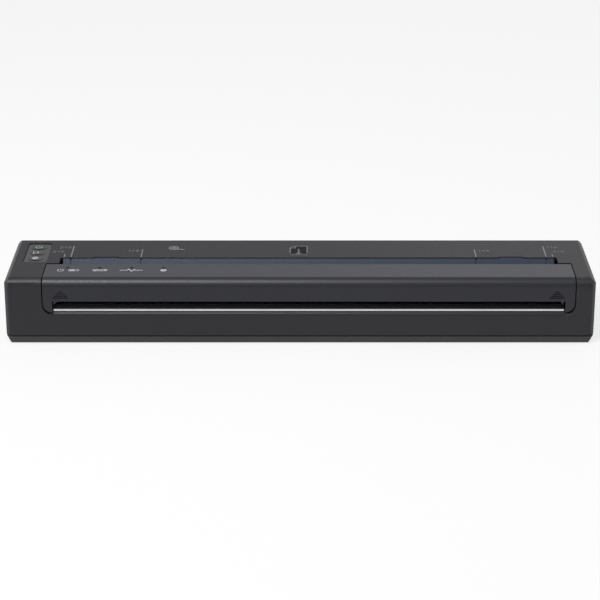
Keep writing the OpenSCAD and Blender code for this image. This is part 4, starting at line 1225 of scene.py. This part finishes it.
@dataclass(frozen=True)
class Fitting:
    """A piece made here: its name, and the body that it moves with."""

    name: str
    body: str
    slot: str
    finish: Finish

    def place(self, mesh: bpy.types.Mesh) -> bpy.types.Object:
        """Makes the object of a mesh and hangs it on its body.

        Args:
            mesh: The finished mesh, in the frame's place.

        Returns:
            The object.
        """
        piece = bpy.data.objects.new(self.name, mesh)
        bpy.context.scene.collection.objects.link(piece)
        mesh.materials.append(self.finish.material())
        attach(piece, self.body)
        LOG.info("made %s on %s", self.name, self.body)
        return piece


@dataclass(frozen=True)
class Dress:
    """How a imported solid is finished, and the radius that its edges are rounded to."""

    finish: Finish
    edge_mm: float = 0.0
    # Faces that meet at less than this angle are joined before the rounding
    flat_deg: float = 0.5
    # Edges whose faces turn by more than this are rounded, in so many steps
    sharp_deg: float = 55.0
    steps: int = 2
    # Corners of the solid's triangles that lie this close are one
    weld_mm: float = 0.001

    def put_on(self, node: bpy.types.Object) -> None:
        """Gives a solid its material and, where asked, round edges.

        Args:
            node: The solid's object in the frame.
        """
        node.data.materials.clear()
        node.data.materials.append(self.finish.material())
        if self.edge_mm:
            self.round_edges(node)
        LOG.info("dressed %s in %s", node.name, self.finish.name)

    def round_edges(self, node: bpy.types.Object) -> None:
        """Rounds a solid's edges with modifiers, which leave its own mesh as it is.

        Args:
            node: The solid's object in the frame.
        """
        weld = node.modifiers.new("weld", "WELD")
        weld.merge_threshold = self.weld_mm * MM
        join = node.modifiers.new("join_flats", "DECIMATE")
        join.decimate_type = "DISSOLVE"
        join.angle_limit = math.radians(self.flat_deg)
        bevel = node.modifiers.new("bevel", "BEVEL")
        bevel.limit_method = "ANGLE"
        bevel.angle_limit = math.radians(self.sharp_deg)
        bevel.width = self.edge_mm * MM
        bevel.segments = self.steps
        bevel.use_clamp_overlap = False
        normals = node.modifiers.new("normals", "WEIGHTED_NORMAL")
        normals.keep_sharp = False


# ---- Sub-assemblies ----


class SubAssembly:
    """A group of solids, with the marks and fittings that go on them."""

    def dresses(self) -> dict[str, Dress]:
        """The dress of each solid in the group, by name."""
        raise NotImplementedError

    def build(self) -> None:
        """Builds the group's own pieces; most groups have none."""

    def dress(self, nodes: Mapping[str, bpy.types.Object]) -> None:
        """Dresses every solid of the group.

        Args:
            nodes: The frame's solids by name.
        """
        for name, worn in self.dresses().items():
            worn.put_on(nodes[name])


@dataclass
class Housing(SubAssembly):
    """The two halves of the case, its feet and its screws."""

    # The raised width marks are 0.2 mm high, so this stays under half of that
    edge: float = 0.08
    foot_edge: float = 0.2
    flat_deg: float = 3.0
    top: float = 29.8
    mark_rise: float = 0.12
    field_rise: float = 0.03
    middle_x: float = 3.8
    number_height: float = 2.1
    roll_at: Point = (-55.2, 12.4)
    sheet_at: Point = (-0.6, 9.6)
    # Size in millimetres across the paper, and where its number stands
    sizes: tuple[tuple[str, float, float], ...] = (
        ("210", 108.6, 13.4),
        ("216", 111.2, 8.0),
        ("148", 78.0, 9.0),
    )

    def dresses(self) -> dict[str, Dress]:
        """The dress of each solid in the group, by name."""
        return {
            "upper_case": Dress(SHELL, self.edge, self.flat_deg),
            "lower_case": Dress(TRAY_SHELL, self.edge),
            "rubber_feet": Dress(FOOT_RUBBER, self.foot_edge),
            "case_screws": Dress(SCREW_STEEL),
        }

    def build(self) -> None:
        """Raises the signs and the paper-width numbers on the top, with painted shade
        under the sheet sign.
        """
        face = FlatTop(self.top)
        signs = {
            "roll_sign": ROLL_SIGN.moved(*self.roll_at),
            "sheet_sign": SHEET_SIGN.moved(*self.sheet_at),
        }
        for text, offset, y in self.sizes:
            digits = number(text, self.number_height)
            for side, name in ((-1, "left"), (1, "right")):
                signs[f"width_{text}_{name}"] = digits.moved(
                    self.middle_x + side * offset, y
                )
        for name, sign in signs.items():
            finish = RAISED_MARK if name == "roll_sign" else DULL_MARK
            Fitting(name, "case", "shell_black", finish).place(
                solid_from(sign, face, self.mark_rise)
            )
        Fitting("sheet_sign_shade", "case", "shell_black", SHADE_FIELD).place(
            solid_from(SHEET_SHADE.moved(*self.sheet_at), face, self.field_rise)
        )


@dataclass
class KeyPanel(SubAssembly):
    """The grey panel with its three keys, and the board under it."""

    edge: float = 0.15
    flat_deg: float = 3.0
    crown_radius: float = 12.0
    ink: float = 0.02
    # The signs stand a little left of the keys' middles
    sign_x: float = -0.3
    sign_scale: float = 1.1
    # The radio sign lies on a white disc, this far behind its middle
    disc_radius: float = 1.35
    radio_y: float = 0.1

    def dresses(self) -> dict[str, Dress]:
        """The dress of each solid in the group, by name."""
        key = Dress(KEY_CAP, self.edge, self.flat_deg)
        return {
            "key_bezel": Dress(PANEL, self.edge, self.flat_deg),
            "power_button": key,
            "feed_button": key,
            "wireless_button": key,
            "key_board": Dress(LAMINATE),
            "key_switches": Dress(TURNED_STEEL),
        }

    def build(self) -> None:
        """Prints a sign on each key."""
        power = POWER_SIGN.moved(0, 0, self.sign_scale)
        feed = FEED_SIGN.moved(0, 0, self.sign_scale)
        plate = Mark((disc((0, 0), self.disc_radius),))
        radio = RADIO_SIGN.moved(0, self.radio_y)
        for name, key, body, sign, ink in (
            ("power_sign", "power_button", "power_key", power, GREEN_INK),
            ("feed_sign", "feed_button", "feed_key", feed, WHITE_INK),
            ("wireless_disc", "wireless_button", "wireless_key", plate, WHITE_INK),
            ("wireless_sign", "wireless_button", "wireless_key", radio, DARK_INK),
        ):
            # Dark ink lies on the white disc, so it stands one layer higher
            top = 2 * self.ink if ink is DARK_INK else self.ink
            low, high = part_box(key)
            middle = (low + high) / 2 / MM
            crown = CrownedTop(middle.x, high.z / MM, self.crown_radius)
            placed = sign.moved(middle.x + self.sign_x, middle.y)
            Fitting(name, body, "panel_grey", ink).place(solid_from(placed, crown, top))


@dataclass
class ReleaseCover(SubAssembly):
    """The cover over the platen, its inner frame and its indicator windows."""

    edge: float = 0.08
    flat_deg: float = 3.0
    top: float = 29.8
    ink: float = 0.02
    label_y: float = -15.7
    # The first window has two signs, this far left and right of it
    pair_x: float = 2.9
    battery_scale: float = 1.25
    exchange_x: float = 0.3
    exchange_scale: float = 0.92
    # The radio sign lies on a white disc, this far behind its middle
    disc_radius: float = 1.35
    radio_y: float = 0.1
    # The grooves that a finger grips, over each end of the front slot, with dark strips
    # in them as painted shade
    middle_x: float = 3.8
    grip_offset: float = 107.0
    grip_floor: float = -27.2
    shade_rise: float = 0.22
    grip_width: float = 0.4
    # Half length and height of each groove
    grip_rows: tuple[Point, ...] = (
        (0.85, 24.0), (1.7, 23.1), (2.55, 22.2), (3.4, 21.3),
    )
    lens_x: tuple[float, float, float, float] = (-101.2, -87.25, -73.3, -59.35)

    def dresses(self) -> dict[str, Dress]:
        """The dress of each solid in the group, by name."""
        return {
            "release_cover": Dress(COVER_SHELL, self.edge, self.flat_deg),
            "cover_frame": Dress(INNER),
            "frame_screws": Dress(SCREW_STEEL),
            "hinge_pins": Dress(TURNED_STEEL),
            "indicator_lenses": Dress(LENS),
            "indicator_board": Dress(LAMINATE),
            "indicator_leds": Dress(LAMP),
        }

    def build(self) -> None:
        """Prints the signs in front of the windows and lays painted shade in the grip's
        grooves.
        """
        face = FlatTop(self.top)
        power, data, status, radio = self.lens_x
        y = self.label_y
        battery = BATTERY_SIGN.moved(power + self.pair_x, y, self.battery_scale)
        signs = {
            "battery_label": POWER_SIGN.moved(power - self.pair_x, y).joined(battery),
            "data_label": EXCHANGE_SIGN.moved(
                data + self.exchange_x, y, self.exchange_scale
            ),
            "status_label": PULSE_SIGN.moved(status, y),
            "radio_label_disc": Mark((disc((radio, y), self.disc_radius),)),
        }
        for name, sign in signs.items():
            Fitting(name, "cover", "shell_black", WHITE_INK).place(
                solid_from(sign, face, self.ink)
            )
        Fitting("radio_label", "cover", "shell_black", DARK_INK).place(
            solid_from(RADIO_SIGN.moved(radio, y + self.radio_y), face, 2 * self.ink)
        )
        floor = FrontFace(self.grip_floor)
        for side, name in ((-1, "left"), (1, "right")):
            x = self.middle_x + side * self.grip_offset
            rows = Mark(
                tuple(
                    line((x - half, z), (x + half, z), width=self.grip_width, cuts=1)
                    for half, z in self.grip_rows
                )
            )
            Fitting(f"groove_shade_{name}", "cover", "inner_black", GROOVE_SHADE).place(
                solid_from(rows, floor, self.shade_rise)
            )


@dataclass
class PlatenDrive(SubAssembly):
    """The platen, the gears and the motor that turns them."""

    roller_edge: float = 0.3
    shaft_edge: float = 0.15
    bushing_edge: float = 0.1
    can_edge: float = 0.2
    plate_edge: float = 0.1

    def dresses(self) -> dict[str, Dress]:
        """The dress of each solid in the group, by name."""
        return {
            "platen_roller": Dress(PLATEN_RUBBER, self.roller_edge),
            "platen_shaft": Dress(TURNED_STEEL, self.shaft_edge),
            "platen_bushings": Dress(ACETAL, self.bushing_edge),
            "platen_gear": Dress(ACETAL),
            "idler_gear": Dress(ACETAL),
            "reduction_gear": Dress(ACETAL),
            "motor_pinion": Dress(BRASS),
            "motor_shaft": Dress(TURNED_STEEL),
            "drive_motor": Dress(MOTOR_CAN, self.can_edge),
            "motor_screws": Dress(SCREW_STEEL),
            "motor_cable": Dress(RIBBON),
            "gear_plate": Dress(ZINC_SHEET, self.plate_edge),
            "gear_studs": Dress(TURNED_STEEL),
        }


@dataclass
class PrintHead(SubAssembly):
    """The sprung thermal head and the chassis that carries it."""

    fin_edge: float = 0.1
    sheet_edge: float = 0.08
    # Share of their height that the springs keep with the head pressed right down
    spring_keep: float = 0.92

    def dresses(self) -> dict[str, Dress]:
        """The dress of each solid in the group, by name."""
        return {
            "print_head": Dress(CERAMIC),
            "head_cover": Dress(CHIP),
            "head_heatsink": Dress(ALUMINIUM, self.fin_edge),
            "head_connector": Dress(CONNECTOR),
            "head_pivot_rod": Dress(TURNED_STEEL),
            "head_springs": Dress(SPRING_WIRE),
            "head_cable": Dress(RIBBON),
            "chassis": Dress(ZINC_SHEET, self.sheet_edge),
            "chassis_screws": Dress(SCREW_STEEL),
        }

    def build(self) -> None:
        """Makes the springs again as a piece of its own on the case, and hides the
        imported ones.
        """
        coils = bpy.data.objects["head_springs"].data.copy()
        coils.materials.clear()
        springs = Fitting("head_spring_set", "case", "steel", SPRING_WIRE).place(coils)
        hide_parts("head_springs")
        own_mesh(springs)


@dataclass
class PaperPath(SubAssembly):
    """What the paper slides over: chute, exit guide, tear bar and sensor lever."""

    chute_edge: float = 0.05
    guide_edge: float = 0.2
    bar_edge: float = 0.08
    frame_edge: float = 0.08

    def dresses(self) -> dict[str, Dress]:
        """The dress of each solid in the group, by name."""
        return {
            "paper_chute": Dress(CHUTE, self.chute_edge),
            "exit_guide": Dress(GUIDE, self.guide_edge),
            "tear_bar": Dress(GROUND_STAINLESS, self.bar_edge),
            "sensor_lever": Dress(BLACK_ACETAL),
            "lever_pin": Dress(TURNED_STEEL),
            "sensor_board": Dress(DARK_LAMINATE),
            "inner_frame": Dress(INNER, self.frame_edge),
        }


@dataclass
class Electronics(SubAssembly):
    """The boards, what is soldered to them, and the two sockets."""

    part_edge: float = 0.1

    def dresses(self) -> dict[str, Dress]:
        """The dress of each solid in the group, by name."""
        return {
            "main_board": Dress(LAMINATE),
            "board_chips": Dress(CHIP, self.part_edge),
            "board_connectors": Dress(CONNECTOR),
            "radio_module": Dress(TURNED_STEEL, self.part_edge),
            "board_screws": Dress(SCREW_STEEL),
            "io_board": Dress(DARK_LAMINATE),
            "io_cable": Dress(RIBBON),
            "usb_port": Dress(TURNED_STEEL),
            "dc_jack": Dress(INNER, self.part_edge),
        }


@dataclass
class BatteryPack(SubAssembly):
    """The battery, its contacts and its door."""

    case_edge: float = 0.2
    cell_edge: float = 0.3
    door_edge: float = 0.1

    def dresses(self) -> dict[str, Dress]:
        """The dress of each solid in the group, by name."""
        return {
            "battery_case": Dress(PACK_SHELL, self.case_edge),
            "battery_cells": Dress(WRAP, self.cell_edge),
            "battery_contacts": Dress(BRASS),
            "battery_door": Dress(SHELL, self.door_edge),
        }


# ---- Studio ----


@dataclass(frozen=True)
class SoftBox:
    """A soft lamp that faces the object, in metres and watts."""

    name: str
    place: Place
    size: Span
    power: float

    def hang(self) -> None:
        """Adds the lamp to the scene."""
        data = bpy.data.lights.new(self.name, "AREA")
        data.shape = "RECTANGLE"
        data.size, data.size_y = self.size
        data.energy = self.power
        lamp = bpy.data.objects.new(self.name, data)
        bpy.context.scene.collection.objects.link(lamp)
        lamp.location = self.place
        lamp.rotation_euler = (-Vector(self.place)).to_track_quat("-Z", "Y").to_euler()


@dataclass
class Studio:
    """A white table under soft light, and the camera."""

    elevation_deg: float = 21.05
    distance: float = 0.93
    target_z: float = 0.0099
    # Focal length and width of the sensor, in millimetres
    lens: float = 125.4
    sensor: float = 36.0
    # Half the floor's side in metres, far enough that no edge shows
    floor_half: float = 30.0
    # Strength of the room's own light, which fills the shadows
    ambient: float = 0.49
    lamps: tuple[SoftBox, ...] = (
        SoftBox("key_softbox", (-0.24, -0.37, 0.95), (0.36, 0.34), 7.5),
        SoftBox("back_softbox", (0.5, 1.2, 0.8), (1.0, 0.8), 1.2),
    )

    def build(self) -> None:
        """Sets the camera, the floor, the lamps and the world."""
        self.camera()
        self.floor()
        for lamp in self.lamps:
            lamp.hang()
        self.world()

    def camera(self) -> None:
        """Puts the camera at the photograph's angle."""
        tilt = math.radians(self.elevation_deg)
        data = bpy.data.cameras.new("camera")
        data.lens = self.lens
        data.sensor_width = self.sensor
        camera = bpy.data.objects.new("camera", data)
        bpy.context.scene.collection.objects.link(camera)
        camera.location = (
            0.0,
            -self.distance * math.cos(tilt),
            self.target_z + self.distance * math.sin(tilt),
        )
        camera.rotation_euler = (math.pi / 2 - tilt, 0.0, 0.0)
        bpy.context.scene.camera = camera

    def floor(self) -> None:
        """Lays the white table top."""
        far = self.floor_half
        mesh = bpy.data.meshes.new("floor")
        corners = [(-far, -far, 0), (far, -far, 0), (far, far, 0), (-far, far, 0)]
        mesh.from_pydata(corners, [], [(0, 1, 2, 3)])
        floor = bpy.data.objects.new("floor", mesh)
        bpy.context.scene.collection.objects.link(floor)
        mesh.materials.append(PAPER.material())

    def world(self) -> None:
        """Makes the room, an even pale grey that lights the object from all round."""
        world = bpy.data.worlds.new("room")
        world.use_nodes = True
        bpy.context.scene.world = world
        background = world.node_tree.nodes["Background"]
        connect(world.node_tree, background, {"Color": WHITE, "Strength": self.ambient})
        bpy.context.scene.view_settings.view_transform = "Standard"


def main() -> None:
    """Dresses the frame, builds the marks and sets the studio."""
    logging.basicConfig(level=logging.INFO, format="%(message)s")
    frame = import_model()
    assemblies: tuple[SubAssembly, ...] = (
        Housing(),
        KeyPanel(),
        ReleaseCover(),
        PlatenDrive(),
        PrintHead(),
        PaperPath(),
        Electronics(),
        BatteryPack(),
    )
    for assembly in assemblies:
        assembly.dress(frame["nodes"])
        assembly.build()
    Studio().build()


if __name__ == "__main__":
    main()
